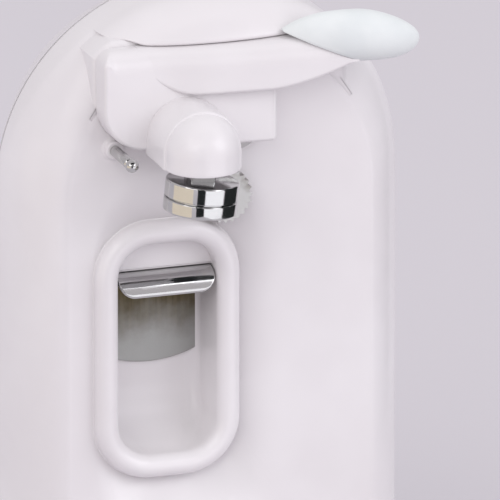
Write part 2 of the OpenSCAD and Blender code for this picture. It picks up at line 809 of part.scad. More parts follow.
module pod_form(inset, back) {
    slab(back, magnet_reach) {
        intersection() {
            translate([magnet_x, pod_spring]) circle(r = pod_r - inset);
            translate([magnet_x - pod_r, pod_spring]) square([pod_w, pod_r]);
        }
        translate([magnet_x - pod_r + inset, pod_low - (inset > 0 ? cut : 0)])
            square([pod_w - 2 * inset, pod_spring - pod_low + (inset > 0 ? cut : 0)]);
    }
    translate([magnet_x, face_y - magnet_reach, 0]) rotate([0, 0, 180])
        rotate_extrude(angle = 180) {
            translate([0, pod_spring]) intersection() {
                circle(r = dome_r - inset);
                square(pod_r);
            }
            translate([0, pod_low - (inset > 0 ? cut : 0)])
                square([dome_r - inset, pod_spring - pod_low + (inset > 0 ? cut : 0)]);
        }
}

module magnet_pod() color("white") difference() {
    pod_form(0, block_t);
    pod_form(pod_wall, block_t + pod_wall);
    rod(magnet_x, magnet_pin_z, magnet_pin_d + 2 * fit, block_t - cut,
        magnet_reach + dome_r - pod_wall + 1);
}

module magnet_pin() color("silver")
    rod(magnet_x, magnet_pin_z, magnet_pin_d, block_t + 0.2, magnet_reach + dome_r - pod_wall + 0.9);

module magnet_keeper() color("gainsboro") hanging() difference() {
    union() {
        translate([0, 0, magnet_low + magnet_t]) cylinder(d = magnet_d, h = keeper_t);
        translate([-4, -4, magnet_low + magnet_t])
            cube([8, 8, magnet_pin_z - magnet_low - magnet_t]);
        translate([0, 4, magnet_pin_z]) rotate([90, 0, 0]) cylinder(d = 8, h = 8);
    }
    translate([0, 5, magnet_pin_z]) rotate([90, 0, 0])
        cylinder(d = magnet_pin_d + 2 * running_gap, h = 10);
}

module magnet_disc() color("gainsboro") hanging() {
    translate([0, 0, magnet_low]) cylinder(d1 = magnet_d - 1, d2 = magnet_d, h = 0.5);
    translate([0, 0, magnet_low + 0.5]) cylinder(d = magnet_d, h = magnet_t - 1);
    translate([0, 0, magnet_low + magnet_t - 0.5]) cylinder(d = magnet_d - 1, h = 0.5);
}

// ---------- Cutting head ----------

module cutter_wheel() color("silver")
    front_view() translate([cutter_x, cutter_z, cutter_reach]) rotate_extrude() {
        hub = cutter_axle_d / 2 + running_gap;
        polygon([[hub, -cutter_t / 2], [cutter_d / 2 - 2, -cutter_t / 2], [cutter_d / 2, -0.1],
                 [cutter_d / 2, 0.1], [cutter_d / 2 - 2, cutter_t / 2], [hub, cutter_t / 2]]);
    }

module cutter_axle() color("silver")
    rod(cutter_x, cutter_z, cutter_axle_d, lever_gap + 0.1, block_t - 1.1);

module drive_wheel() color("silver") difference() {
    slab(drive_wheel_back, drive_wheel_back + drive_wheel_t) translate([drive_x, drive_z])
        polygon([for (i = [0 : drive_wheel_teeth - 1], side = [[-1, -0.4], [0, 0], [-1, 0.4]])
                 (drive_wheel_d / 2 + side[0]) * [cos((i + side[1]) * 360 / drive_wheel_teeth),
                                                  sin((i + side[1]) * 360 / drive_wheel_teeth)]]);
    rod(drive_x, drive_z, drive_shaft_d + 2 * fit, -cut, drive_wheel_back + drive_wheel_t + cut);
}

module drive_shaft() color("silver")
    rod(drive_x, drive_z, drive_shaft_d, drive_gear_rear - 0.8, drive_wheel_back + drive_wheel_t);

module drive_bushings() color("peru") difference() {
    union() {
        rod(drive_x, drive_z, drive_bush_d, -pivot_bush_l, front_rim);
        rod(drive_x, drive_z, drive_bush_d + 2, 0, front_rim);
        rod(drive_x, drive_z, drive_bush_d, gear_plate_rear - drive_bush_rim, -gear_plate_back);
        rod(drive_x, drive_z, drive_bush_d + 2, gear_plate_rear - drive_bush_rim, gear_plate_rear);
    }
    rod(drive_x, drive_z, drive_shaft_d + 2 * running_gap, -body_depth, body_depth);
}

// ---------- Gear train ----------

module drive_gear() color("ivory") difference() {
    slab(drive_gear_rear, drive_gear_front) translate([drive_x, drive_z]) difference() {
        gear_outline(drive_teeth);
        for (i = [0 : 5]) rotate(60 * i + 30) translate([drive_teeth * gear_module / 3.4, 0])
            circle(d = 8);
    }
    rod(drive_x, drive_z, drive_shaft_d + 2 * fit, -body_depth, body_depth);
}

module cluster_gear() color("ivory") difference() {
    union() {
        slab(cluster_front, gear_plate_rear - side_play) translate([drive_x, cluster_z])
            gear_outline(cluster_pinion_teeth);
        slab(cluster_rear, cluster_front) translate([drive_x, cluster_z])
            gear_outline(cluster_teeth);
    }
    rod(drive_x, cluster_z, cluster_pin_d + 2 * running_gap, -body_depth, body_depth);
}

module cluster_pin() color("silver") {
    rod(drive_x, cluster_z, cluster_pin_d, cluster_rear - side_play, -gear_plate_back);
    rod(drive_x, cluster_z, cluster_pin_d + 2, cluster_rear - side_play - 0.5,
        cluster_rear - side_play);
}

module motor_pinion() color("peru") difference() {
    slab(cluster_rear - side_play, cluster_front + side_play) translate([drive_x, motor_z])
        rotate(180 / motor_pinion_teeth) gear_outline(motor_pinion_teeth);
    rod(drive_x, motor_z, rotor_shaft_d + 2 * fit, -body_depth, body_depth);
}

module gear_plate() color("lightslategray") difference() {
    slab(gear_plate_rear, -gear_plate_back) rounded_box(plate_bosses[0][0] - plate_margin,
        plate_foot, plate_bosses[1][0] + plate_margin, plate_head, plate_margin);
    rod(drive_x, drive_z, drive_bush_d + 2 * fit, -body_depth, body_depth);
    rod(drive_x, cluster_z, cluster_pin_d + 2 * fit, -body_depth, body_depth);
    for (boss = plate_bosses) rod(boss[0], boss[1], screw_d + 0.4, -body_depth, body_depth);
    motor_screw_holes(screw_d + 2 * fit);
}

module gear_plate_screws() color("silver")
    for (boss = plate_bosses) {
        rod(boss[0], boss[1], screw_head_d, gear_plate_rear - 2, gear_plate_rear);
        rod(boss[0], boss[1], screw_d, gear_plate_rear, screw_tip - 5);
    }

// ---------- Motor ----------

module motor_screw_holes(d)
    for (side = [-1, 1], drop = [0, post_drop])
        rod(drive_x + side * post_x, motor_z - drop, d, -body_depth, body_depth);

module motor_posts() color("silver") difference() {
    for (side = [-1, 1]) {
        rod(drive_x + side * post_x, motor_z, 6.4, motor_front, gear_plate_rear);
        rod(drive_x + side * post_x, motor_z - post_drop, 6.4, stator_front, gear_plate_rear);
    }
    motor_screw_holes(screw_d + 0.4);
}

module motor_screws() color("silver")
    for (side = [-1, 1], end = [[0, motor_rear], [post_drop, stator_rear]]) {
        rod(drive_x + side * post_x, motor_z - end[0], screw_head_d, end[1] - 2, end[1]);
        rod(drive_x + side * post_x, motor_z - end[0], screw_d, end[1], -gear_plate_back);
    }

module stator() color("slategray") difference() {
    slab(stator_rear, stator_front) difference() {
        rounded_box(drive_x - stator_w / 2, stator_low, drive_x + stator_w / 2,
                    motor_z + stator_rise, 5);
        translate([drive_x - coil_l / 2 - 0.5, stator_low + leg_h])
            square([coil_l + 1, bobbin_t + coil_t + 1]);
    }
    rod(drive_x, motor_z, stator_bore, -body_depth, 0);
    motor_screw_holes(screw_d + 0.4);
}

// The stator's leg in section, grown all round
module leg_section(grow)
    translate([stator_rear - grow, stator_low - grow])
        square([stator_t + 2 * grow, leg_h + 2 * grow]);

module leg_sleeve(inner, outer, half_l)
    side_view(drive_x - half_l, drive_x + half_l) difference() {
        leg_section(outer);
        leg_section(inner);
    }

module coil_bobbin() color("wheat") {
    leg_sleeve(fit, bobbin_t, coil_l / 2);
    for (side = [-1, 1]) side_view(drive_x + side * (coil_l / 2 - 0.5) - 0.5,
                                   drive_x + side * (coil_l / 2 - 0.5) + 0.5)
        difference() {
            leg_section(bobbin_t + coil_t - 0.2);
            leg_section(fit);
        }
}

module motor_coil() color("chocolate")
    leg_sleeve(bobbin_t + fit, bobbin_t + coil_t - 0.6, coil_l / 2 - 1 - fit);

module bracket(back, front, boss_back, boss_front) difference() {
    union() {
        slab(back, front) rounded_box(drive_x - stator_w / 2, motor_z - bracket_h / 2,
                                      drive_x + stator_w / 2, motor_z + bracket_h / 2, 5);
        rod(drive_x, motor_z, bearing_boss_d, boss_back, boss_front);
    }
    rod(drive_x, motor_z, bearing_d + 2 * fit, boss_back - cut, boss_front + cut);
    motor_screw_holes(screw_d + 0.4);
}

module motor_brackets() color("lightgray") {
    bracket(stator_front, motor_front, stator_front, motor_front + bearing_l - bracket_t);
    bracket(motor_rear, stator_rear, motor_rear - bearing_l + bracket_t, stator_rear);
}

module motor_bearings() color("peru")
    for (end = [stator_front, stator_rear - bearing_l]) difference() {
        rod(drive_x, motor_z, bearing_d, end, end + bearing_l);
        rod(drive_x, motor_z, rotor_shaft_d + 2 * running_gap, end - cut, end + bearing_l + cut);
    }

module rotor_core() color("lightgray") difference() {
    rod(drive_x, motor_z, rotor_d, stator_rear + side_play, stator_front - side_play);
    rod(drive_x, motor_z, rotor_shaft_d + 2 * fit, -body_depth, 0);
}

module rotor_shaft() color("silver")
    rod(drive_x, motor_z, rotor_shaft_d, fan_front - fan_t, cluster_front + side_play);

module motor_fan() color("dimgray") difference() {
    slab(fan_front - fan_t, fan_front) translate([drive_x, motor_z]) {
        circle(d = 10);
        for (i = [0 : fan_blades - 1]) rotate(360 * i / fan_blades)
            translate([0, -1]) square([fan_d / 2 - 0.5, 2]);
    }
    rod(drive_x, motor_z, rotor_shaft_d + 2 * fit, -body_depth, 0);
}

// ---------- Switch ----------

module switch_body() color("dimgray") difference() {
    slab(-gear_plate_back, -gear_plate_back + switch_t) rounded_box(plunger_x - switch_w / 2,
        switch_top - switch_h, plunger_x + switch_w / 2, switch_top, 1.5);
    translate([plunger_x, face_y - plunger_reach, switch_top - switch_h + 1])
        cylinder(d = plunger_d + 2 * running_gap, h = switch_h);
}

module switch_plunger() color("firebrick")
    translate([plunger_x, face_y - plunger_reach, switch_top - 4])
        cylinder(d = plunger_d, h = plunger_top - switch_top + 4);

front_housing();
rear_cover();
feet();
cord_inlet_bushing();
recess_cup();
opener_plate();
opener_lip();
opener_rivets();
lever_body();
lever_grip();
pivot_shaft();
pivot_bushing();
pivot_clip();
return_spring();
switch_finger();
magnet_pod();
magnet_pin();
magnet_keeper();
magnet_disc();
cutter_wheel();
cutter_axle();
drive_wheel();
drive_shaft();
drive_bushings();
drive_gear();
cluster_gear();
cluster_pin();
gear_plate();
gear_plate_screws();
motor_posts();
stator();
coil_bobbin();
motor_coil();
motor_brackets();
motor_screws();
motor_bearings();
rotor_core();
rotor_shaft();
motor_pinion();
motor_fan();
switch_body();
switch_plunger();
can_guide_pin();
housing_screws();
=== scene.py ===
"""Looks of an electric can opener: smooth mouldings, plated parts and finishes.

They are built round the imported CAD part. Sizes are in millimetres and places are
(x, reach, height), where reach is the distance forward of the flat face of the body.
Mould.piece turns them into metres.
"""

import json
import logging
from dataclasses import dataclass, field
from enum import Enum
from typing import Any, Sequence

import bmesh
import bpy
import numpy as np
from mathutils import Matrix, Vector


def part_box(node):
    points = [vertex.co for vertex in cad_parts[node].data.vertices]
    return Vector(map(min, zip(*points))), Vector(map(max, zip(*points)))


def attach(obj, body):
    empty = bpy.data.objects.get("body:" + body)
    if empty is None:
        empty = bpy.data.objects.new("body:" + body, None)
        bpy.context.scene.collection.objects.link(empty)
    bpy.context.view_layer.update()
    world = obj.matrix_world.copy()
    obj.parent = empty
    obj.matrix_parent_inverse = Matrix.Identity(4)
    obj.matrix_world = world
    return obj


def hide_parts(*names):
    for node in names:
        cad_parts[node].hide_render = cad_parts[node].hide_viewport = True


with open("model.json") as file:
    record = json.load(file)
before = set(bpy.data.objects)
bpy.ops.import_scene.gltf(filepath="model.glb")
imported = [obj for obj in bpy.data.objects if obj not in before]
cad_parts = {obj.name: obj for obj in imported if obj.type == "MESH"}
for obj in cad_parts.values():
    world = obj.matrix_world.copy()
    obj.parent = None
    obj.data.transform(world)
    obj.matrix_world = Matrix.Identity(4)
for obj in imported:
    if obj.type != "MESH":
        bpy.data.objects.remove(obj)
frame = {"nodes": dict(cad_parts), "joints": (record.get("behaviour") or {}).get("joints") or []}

LOG = logging.getLogger("can_opener")
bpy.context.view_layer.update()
JOINTS = {joint["name"]: joint for joint in frame["joints"]}
FACE_Y = JOINTS["lever_press"]["pos_m"][1]
MM = 0.001
SHARP = np.radians(32.0)
MERGE, SLIVER = 4e-6, 1e-6


class Body(Enum):
    """Moving bodies that a piece can ride on."""

    ROOT = "root"
    LEVER = "lever"
    MAGNET = "magnet"


# ---------- Shader maths ----------


class Signal:
    """A value that varies over a surface; arithmetic on it adds Math nodes."""

    def __init__(self, bench: "Bench", socket: bpy.types.NodeSocket) -> None:
        """Wraps one output socket of a material's bench."""
        self.bench = bench
        self.socket = socket

    def _math(self, operation: str, *others: Any) -> "Signal":
        """One Math node's result on every operand in order, signals or numbers."""
        return self.bench.add("ShaderNodeMath", {"operation": operation}, dict(enumerate(others)))

    def __add__(self, other: Any) -> "Signal":
        """Sum."""
        return self._math("ADD", self, other)

    __radd__ = __add__

    def __sub__(self, other: Any) -> "Signal":
        """Difference."""
        return self._math("SUBTRACT", self, other)

    def __rsub__(self, other: Any) -> "Signal":
        """Difference taken from a number."""
        return self._math("SUBTRACT", other, self)

    def __mul__(self, other: Any) -> "Signal":
        """Product."""
        return self._math("MULTIPLY", self, other)

    __rmul__ = __mul__

    def __pow__(self, other: Any) -> "Signal":
        """Power."""
        return self._math("POWER", self, other)

    def __rpow__(self, other: Any) -> "Signal":
        """A number raised to the signal."""
        return self._math("POWER", other, self)

    def wave(self) -> "Signal":
        """Sine of the signal in radians, brought to 0 to 1."""
        return self._math("SINE", self) * 0.5 + 0.5

    def ramp(self, low: float, high: float) -> "Signal":
        """Eases from 0 to 1 as the signal goes from low to high."""
        return self.bench.add("ShaderNodeMapRange", {"interpolation_type": "SMOOTHSTEP"},
                              {0: self, 1: low, 2: high})


class Bench:
    """The node tree of one material, round its Principled shader."""

    def __init__(self, name: str) -> None:
        """Starts a material with a bare Principled shader.

        Args:
            name: The material's name.
        """
        self.material = bpy.data.materials.new(name)
        self.material.use_nodes = True
        self.tree = self.material.node_tree
        self.shader = next(n for n in self.tree.nodes if n.type == "BSDF_PRINCIPLED")
        self.place = self.add("ShaderNodeTexCoord", out="Object")

    def add(self, kind: str, settings: dict[str, Any] | None = None,
            sockets: dict[str | int, Any] | None = None, out: str | int = 0) -> Signal:
        """Adds a node.

        Args:
            kind: The node's type.
            settings: Its properties.
            sockets: Its inputs by name or number, as values or signals.
            out: The output that is wanted.

        Returns:
            The output as a signal.
        """
        node = self.tree.nodes.new(kind)
        for key, value in (settings or {}).items():
            setattr(node, key, value)
        for key, value in (sockets or {}).items():
            self.feed(node.inputs[key], value)
        return Signal(self, node.outputs[out])

    def feed(self, target: bpy.types.NodeSocket, value: Any) -> None:
        """Links a signal to a socket, or sets the socket to a plain value."""
        if isinstance(value, Signal):
            self.tree.links.new(value.socket, target)
        elif isinstance(value, tuple) and len(value) == 3 and target.type == "RGBA":
            target.default_value = (*value, 1.0)
        else:
            target.default_value = value

    def set(self, **sockets: Any) -> None:
        """Feeds the shader's own sockets; a name's underscores stand for spaces."""
        for key, value in sockets.items():
            self.feed(self.shader.inputs[key.replace("_", " ")], value)

    def blend(self, factor: Any, first: Any, second: Any) -> Signal:
        """Mixes two colours by the second one's share, from 0 to 1."""
        return self.add("ShaderNodeMix", {"data_type": "RGBA"}, {0: factor, 6: first, 7: second}, 2)

    def along(self, axis: int) -> Signal:
        """The object's coordinate along one axis, in metres."""
        return self.add("ShaderNodeSeparateXYZ", None, {0: self.place}, axis)

    def stretch(self, scale: Sequence[float], centre: Sequence[float] = (0, 0, 0)) -> Signal:
        """Scales the object's coordinates.

        Args:
            scale: Factor along each axis.
            centre: Point that stays at zero, in metres.

        Returns:
            The scaled coordinates.
        """
        moved = self.add("ShaderNodeVectorMath", {"operation": "SUBTRACT"},
                         {0: self.place, 1: tuple(centre)})
        return self.add("ShaderNodeMapping", None, {0: moved, 3: tuple(scale)})

    def from_axis(self, centre: Sequence[float]) -> Signal:
        """Distance in metres from the axis that runs front to back through a centre."""
        flat = self.stretch((1.0, 0.0, 1.0), centre)
        return self.add("ShaderNodeVectorMath", {"operation": "LENGTH"}, {0: flat}, "Value")

    def noise(self, scale: float, detail: float = 2.0, roughness: float = 0.5,
              place: Signal | None = None) -> Signal:
        """Fractal noise.

        Args:
            scale: Spots per metre.
            detail: Octaves.
            roughness: Share that each octave keeps.
            place: Coordinates, or None for the object's own.

        Returns:
            Noise round 0.5.
        """
        return self.add("ShaderNodeTexNoise", None,
                        {"Vector": place or self.place, "Scale": scale, "Detail": detail,
                         "Roughness": roughness})

    def bump(self, height: Signal, depth: float, strength: float = 1.0) -> None:
        """Feeds the shader's Normal from a height of 0 to 1, where 1 is depth metres tall."""
        self.set(Normal=self.add("ShaderNodeBump", None,
                                 {"Strength": strength, "Distance": depth, "Height": height}))


# ---------- Finishes ----------

Colour = tuple[float, float, float]


def scaled(colour: Colour, share: float) -> Colour:
    """A colour with each level multiplied by a share."""
    return tuple(share * level for level in colour)


@dataclass(frozen=True)
class Finish:
    """A named surface finish."""

    name: str

    def material(self) -> bpy.types.Material:
        """Gives the finish's material.

        Returns:
            The material, built the first time that it is asked for.
        """
        made = bpy.data.materials.get(self.name)
        if made is None:
            bench = Bench(self.name)
            self.work(bench)
            made = bench.material
        return made

    def work(self, bench: Bench) -> None:
        """Sets out the finish on a bench; each finish has its own."""
        raise NotImplementedError


@dataclass(frozen=True)
class MouldedPlastic(Finish):
    """Glossy injection-moulded plastic with faint tone drift, mould texture and handling marks."""

    colour: Colour = (0.80, 0.775, 0.785)
    shade: Colour = (0.755, 0.725, 0.735)
    roughness: float = 0.34
    gloss: float = 0.25
    grain: float = 2600.0

    def work(self, bench: Bench) -> None:
        """Drift in tone, orange peel and smudges over a clear skin.

        Args:
            bench: The material\'s bench.
        """
        drift = bench.noise(16.0, 3.0, 0.55).ramp(0.36, 0.66)
        specks = bench.noise(5200.0, 1.0).ramp(0.74, 0.80)
        tone = bench.blend(drift, self.colour, self.shade)
        bench.set(Base_Color=bench.blend(specks * 0.18, tone, scaled(self.shade, 0.6)))
        smudges = bench.noise(75.0, 4.0, 0.6).ramp(0.42, 0.68)
        fine = bench.noise(900.0, 2.0)
        bench.set(Roughness=smudges * 0.07 + fine * 0.05 + (self.roughness - 0.05))
        bench.set(Coat_Weight=smudges * (-0.5 * self.gloss) + self.gloss)
        bench.set(Coat_Roughness=0.16, IOR=1.49)
        peel = bench.noise(420.0, 1.0) * 0.7 + bench.noise(self.grain, 2.0) * 0.3
        bench.bump(peel, 2.4e-5, 0.5)


@dataclass(frozen=True)
class SoftGrip(Finish):
    """Pale mint elastomer with a fine matt texture, a little brighter where thumbs polish it."""

    colour: Colour = (0.775, 0.805, 0.80)
    shade: Colour = (0.73, 0.765, 0.765)

    def work(self, bench: Bench) -> None:
        """Matt leather-like grain with polished patches.

        Args:
            bench: The material\'s bench.
        """
        polish = bench.noise(60.0, 3.0, 0.5).ramp(0.4, 0.65)
        pores = bench.noise(3800.0, 2.0, 0.6)
        tone = bench.blend(polish, self.colour, self.shade)
        bench.set(Base_Color=bench.blend(pores.ramp(0.55, 0.75) * 0.12, tone, (0.5, 0.6, 0.58)))
        bench.set(Roughness=polish * -0.12 + pores * 0.1 + 0.55)
        bench.set(Sheen_Weight=0.2, Sheen_Roughness=0.5, IOR=1.45)
        bench.bump(pores * 0.6 + bench.noise(1500.0, 1.0) * 0.4, 3.0e-5, 0.55)


@dataclass(frozen=True)
class Chrome(Finish):
    """Bright plating with hairline polishing marks and faint water haze."""

    colour: Colour = (0.60, 0.605, 0.60)
    roughness: float = 0.06
    lay: tuple[float, float, float] = (60.0, 60.0, 2600.0)

    def work(self, bench: Bench) -> None:
        """Hairlines along one lay, and haze in roughness.

        Args:
            bench: The material\'s bench.
        """
        hairs = bench.noise(1.0, 3.0, 0.6, bench.stretch(self.lay))
        haze = bench.noise(130.0, 4.0, 0.6).ramp(0.45, 0.7)
        bench.set(Base_Color=bench.blend(haze * 0.4 + hairs * 0.2, self.colour,
                                         scaled(self.colour, 0.86)))
        scuffs = haze * 0.07 + hairs.ramp(0.4, 0.75) * 0.06
        bench.set(Metallic=1.0, Roughness=scuffs + self.roughness)
        bench.bump(hairs, 1.2e-6, 0.5)


@dataclass(frozen=True)
class FrostedPlate(Finish):
    """Bead-blasted stainless sheet, warmer and darker towards its top as a painted reflection."""

    low: float = 0.104
    high: float = 0.141

    def work(self, bench: Bench) -> None:
        """Blast grain, a painted reflection that fades downwards, and rubbed streaks.

        Args:
            bench: The material\'s bench.
        """
        height = bench.along(2)
        cloud = bench.noise(90.0, 4.0, 0.55)
        # painted reflection: a warm dark tone that grows towards the top of the plate
        painted_reflection = (height + (cloud - 0.5) * 0.016).ramp(self.low + 0.004, self.high - 0.016)
        grain = bench.noise(7200.0, 2.0, 0.7)
        streaks = bench.noise(1.0, 2.0, 0.5, bench.stretch((900.0, 200.0, 60.0)))
        bare = bench.blend(grain, (0.33, 0.335, 0.32), (0.43, 0.435, 0.42))
        # colour of the painted reflection, streaked
        painted_reflection_tone = bench.blend(streaks.ramp(0.3, 0.7), (0.075, 0.055, 0.018), (0.11, 0.085, 0.038))
        bench.set(Base_Color=bench.blend(painted_reflection, bare, painted_reflection_tone))
        bench.set(Metallic=painted_reflection * -0.15 + 0.85, Roughness=grain * 0.1 + painted_reflection * 0.06 + 0.36)
        bench.bump(grain, 1.1e-5, 0.6)


@dataclass(frozen=True)
class TurnedSteel(Finish):
    """Steel turned or ground round an axis that runs front to back, with tool rings and old oil."""

    centre: tuple[float, float, float] = (0.0, 0.0, 0.0)
    colour: Colour = (0.60, 0.60, 0.59)
    roughness: float = 0.24
    pitch: float = 0.00035

    def work(self, bench: Bench) -> None:
        """Rings by the distance from the axis: sin(2 pi distance / pitch).

        Args:
            bench: The material\'s bench.
        """
        distance = bench.from_axis(self.centre)
        wander = bench.noise(400.0, 2.0)
        rings = (distance * (2 * np.pi / self.pitch) + wander * 3.0).wave()
        oil = bench.noise(160.0, 3.0, 0.6).ramp(0.5, 0.72)
        oiled = (0.55 * self.colour[0], 0.5 * self.colour[1], 0.42 * self.colour[2])
        bench.set(Base_Color=bench.blend(oil * 0.45 + rings * 0.12, self.colour, oiled))
        bench.set(Metallic=oil * -0.2 + 1.0, Roughness=rings * 0.08 + oil * 0.12 + self.roughness)
        bench.bump(rings, 2.5e-6, 0.6)


@dataclass(frozen=True)
class PressedSteel(Finish):
    """Zinc-plated pressed sheet and wire with a soft spangle."""

    colour: Colour = (0.58, 0.59, 0.60)

    def work(self, bench: Bench) -> None:
        """Spangle cells, rolling lines and a few darker spots.

        Args:
            bench: The material\'s bench.
        """
        cells = bench.add("ShaderNodeTexVoronoi", None, {"Vector": bench.place, "Scale": 420.0},
                          "Color")
        spangle = bench.add("ShaderNodeSeparateXYZ", None, {0: cells})
        lines = bench.noise(1.0, 3.0, 0.6, bench.stretch((80.0, 1800.0, 1800.0)))
        spots = bench.noise(700.0, 2.0).ramp(0.62, 0.75)
        bench.set(Base_Color=bench.blend(spangle * 0.5 + spots * 0.4, self.colour,
                                         scaled(self.colour, 0.72)))
        bench.set(Metallic=spots * -0.3 + 1.0, Roughness=spangle * 0.12 + lines * 0.12 + 0.26)
        bench.bump(lines, 3.0e-6, 0.5)


@dataclass(frozen=True)
class SinteredBronze(Finish):
    """Porous oil-filled bronze."""

    def work(self, bench: Bench) -> None:
        """Pressed powder grains with dark pores.

        Args:
            bench: The material\'s bench.
        """
        pores = bench.noise(4200.0, 3.0, 0.7).ramp(0.52, 0.66)
        tone = bench.blend(bench.noise(300.0, 2.0), (0.50, 0.33, 0.15), (0.62, 0.44, 0.22))
        bench.set(Base_Color=bench.blend(pores, tone, (0.16, 0.09, 0.04)))
        bench.set(Metallic=pores * -0.6 + 0.9, Roughness=pores * 0.3 + 0.34)
        bench.bump(1 - pores, 1.5e-5, 0.7)


@dataclass(frozen=True)
class Laminations(Finish):
    """A stack of varnished electrical sheets, seen as fine lines along the stack."""

    sheet: float = 0.0005

    def work(self, bench: Bench) -> None:
        """Stack lines sin(2 pi reach / sheet) with varnish runs and rust freckles.

        Args:
            bench: The material\'s bench.
        """
        lines = (bench.along(1) * (2 * np.pi / self.sheet)).wave()
        freckles = bench.noise(900.0, 3.0, 0.6).ramp(0.6, 0.72)
        tone = bench.blend(lines, (0.10, 0.10, 0.11), (0.24, 0.24, 0.25))
        bench.set(Base_Color=bench.blend(freckles * 0.6, tone, (0.23, 0.10, 0.05)))
        bench.set(Metallic=freckles * -0.6 + 0.7, Roughness=lines * 0.12 + freckles * 0.2 + 0.4)
        bench.bump(lines, 2.0e-5, 0.8)


@dataclass(frozen=True)
class Winding(Finish):
    """Enamelled copper wire wound side by side along x."""

    wire: float = 0.00045

    def work(self, bench: Bench) -> None:
        """Round turns |sin(pi x / wire)| that wander a little, under amber enamel, with painted
        shade in the grooves between them.

        Args:
            bench: The material\'s bench.
        """
        wander = bench.noise(260.0, 2.0) * 2.2
        turns = (bench.along(0) * (2 * np.pi / self.wire) + wander).wave() ** 0.5
        tone = bench.blend(bench.noise(500.0, 2.0), (0.42, 0.15, 0.045), (0.60, 0.25, 0.09))
        # painted shade: the colour darkens to dark copper in the grooves between turns
        bench.set(Base_Color=bench.blend(turns, (0.12, 0.035, 0.012), tone))
        bench.set(Metallic=turns * 0.5 + 0.3, Roughness=turns * -0.12 + 0.42)
        bench.set(Coat_Weight=turns * 0.4, Coat_Roughness=0.15)
        bench.bump(turns, 1.2e-4, 0.9)


@dataclass(frozen=True)
class GearNylon(Finish):
    """Cream nylon with mould rings, a waxy skin and grease near the teeth."""

    centre: tuple[float, float, float] = (0.0, 0.0, 0.0)
    rim: float = 0.02

    def work(self, bench: Bench) -> None:
        """Grease gathers past 0.8 of the rim: ramp(0.8 rim, rim).

        Args:
            bench: The material\'s bench.
        """
        distance = bench.from_axis(self.centre)
        cloud = bench.noise(240.0, 3.0, 0.6)
        grease = (distance + (cloud - 0.5) * 0.006).ramp(0.8 * self.rim, self.rim)
        rings = (distance * 5200.0).wave()
        tone = bench.blend(cloud, (0.74, 0.70, 0.60), (0.80, 0.77, 0.68))
        bench.set(Base_Color=bench.blend(grease * 0.55, tone, (0.62, 0.52, 0.30)))
        bench.set(Roughness=grease * -0.22 + rings * 0.05 + 0.42)
        bench.set(Coat_Weight=grease * 0.6, Coat_Roughness=0.08, IOR=1.53)
        bench.bump(rings * 0.4 + bench.noise(1900.0, 2.0) * 0.6, 1.5e-5, 0.5)


@dataclass(frozen=True)
class FootRubber(Finish):
    """Grey rubber with talc bloom and a fine pebble."""

    colour: Colour = (0.10, 0.10, 0.105)

    def work(self, bench: Bench) -> None:
        """Pebbled skin; bloom settles in the hollows.

        Args:
            bench: The material\'s bench.
        """
        pebble = bench.noise(2400.0, 2.0, 0.5)
        bloom = bench.noise(210.0, 4.0, 0.65).ramp(0.42, 0.75)
        paler = tuple(level + 0.09 for level in self.colour)
        bench.set(Base_Color=bench.blend(bloom * 0.6 + pebble * 0.2, self.colour, paler))
        bench.set(Roughness=bloom * 0.14 + pebble * 0.1 + 0.6)
        bench.bump(pebble, 4.0e-5, 0.8)


@dataclass(frozen=True)
class StudioPaper(Finish):
    """Seamless background paper, plain and pale."""

    colour: Colour = (0.62, 0.60, 0.63)
    glow: float = 0.0

    def work(self, bench: Bench) -> None:
        """Paper tone with a trace of fibre, and emission of that tone, painted light, where it
        glows.

        Args:
            bench: The material\'s bench.
        """
        fibre = bench.noise(900.0, 3.0, 0.6)
        tone = bench.blend(fibre, self.colour, scaled(self.colour, 1.02))
        bench.set(Base_Color=tone, Roughness=0.9, Specular_IOR_Level=0.1)
        # painted light: cards that glow emit their own tone and show as bright bands in glossy
        # surfaces
        bench.set(Emission_Color=tone, Emission_Strength=self.glow)


# ---------- Surfaces ----------


def quarter(steps: int) -> np.ndarray:
    """Angles from 0 to a right angle."""
    return np.linspace(0.0, np.pi / 2, steps + 1)


def spread(first: float, last: float, count: int, ends: float = 0.0) -> np.ndarray:
    """Values first + (last - first) s, s = (1 - ends) t + ends (1 - cos(pi t)) / 2."""
    t = np.linspace(0.0, 1.0, count)
    return first + (last - first) * ((1 - ends) * t + ends * (1 - np.cos(np.pi * t)) / 2)


def ease(value: np.ndarray, low: float, high: float) -> np.ndarray:
    """Smooth step: 3 t^2 - 2 t^3 of t = (value - low) / (high - low), held to 0..1."""
    t = np.clip((value - low) / (high - low), 0.0, 1.0)
    return t * t * (3 - 2 * t)


def at(x: Any, reach: Any, z: Any) -> np.ndarray:
    """Points from arrays or numbers that broadcast together."""
    return np.stack(np.broadcast_arrays(x, reach, z), axis=-1).astype(float)


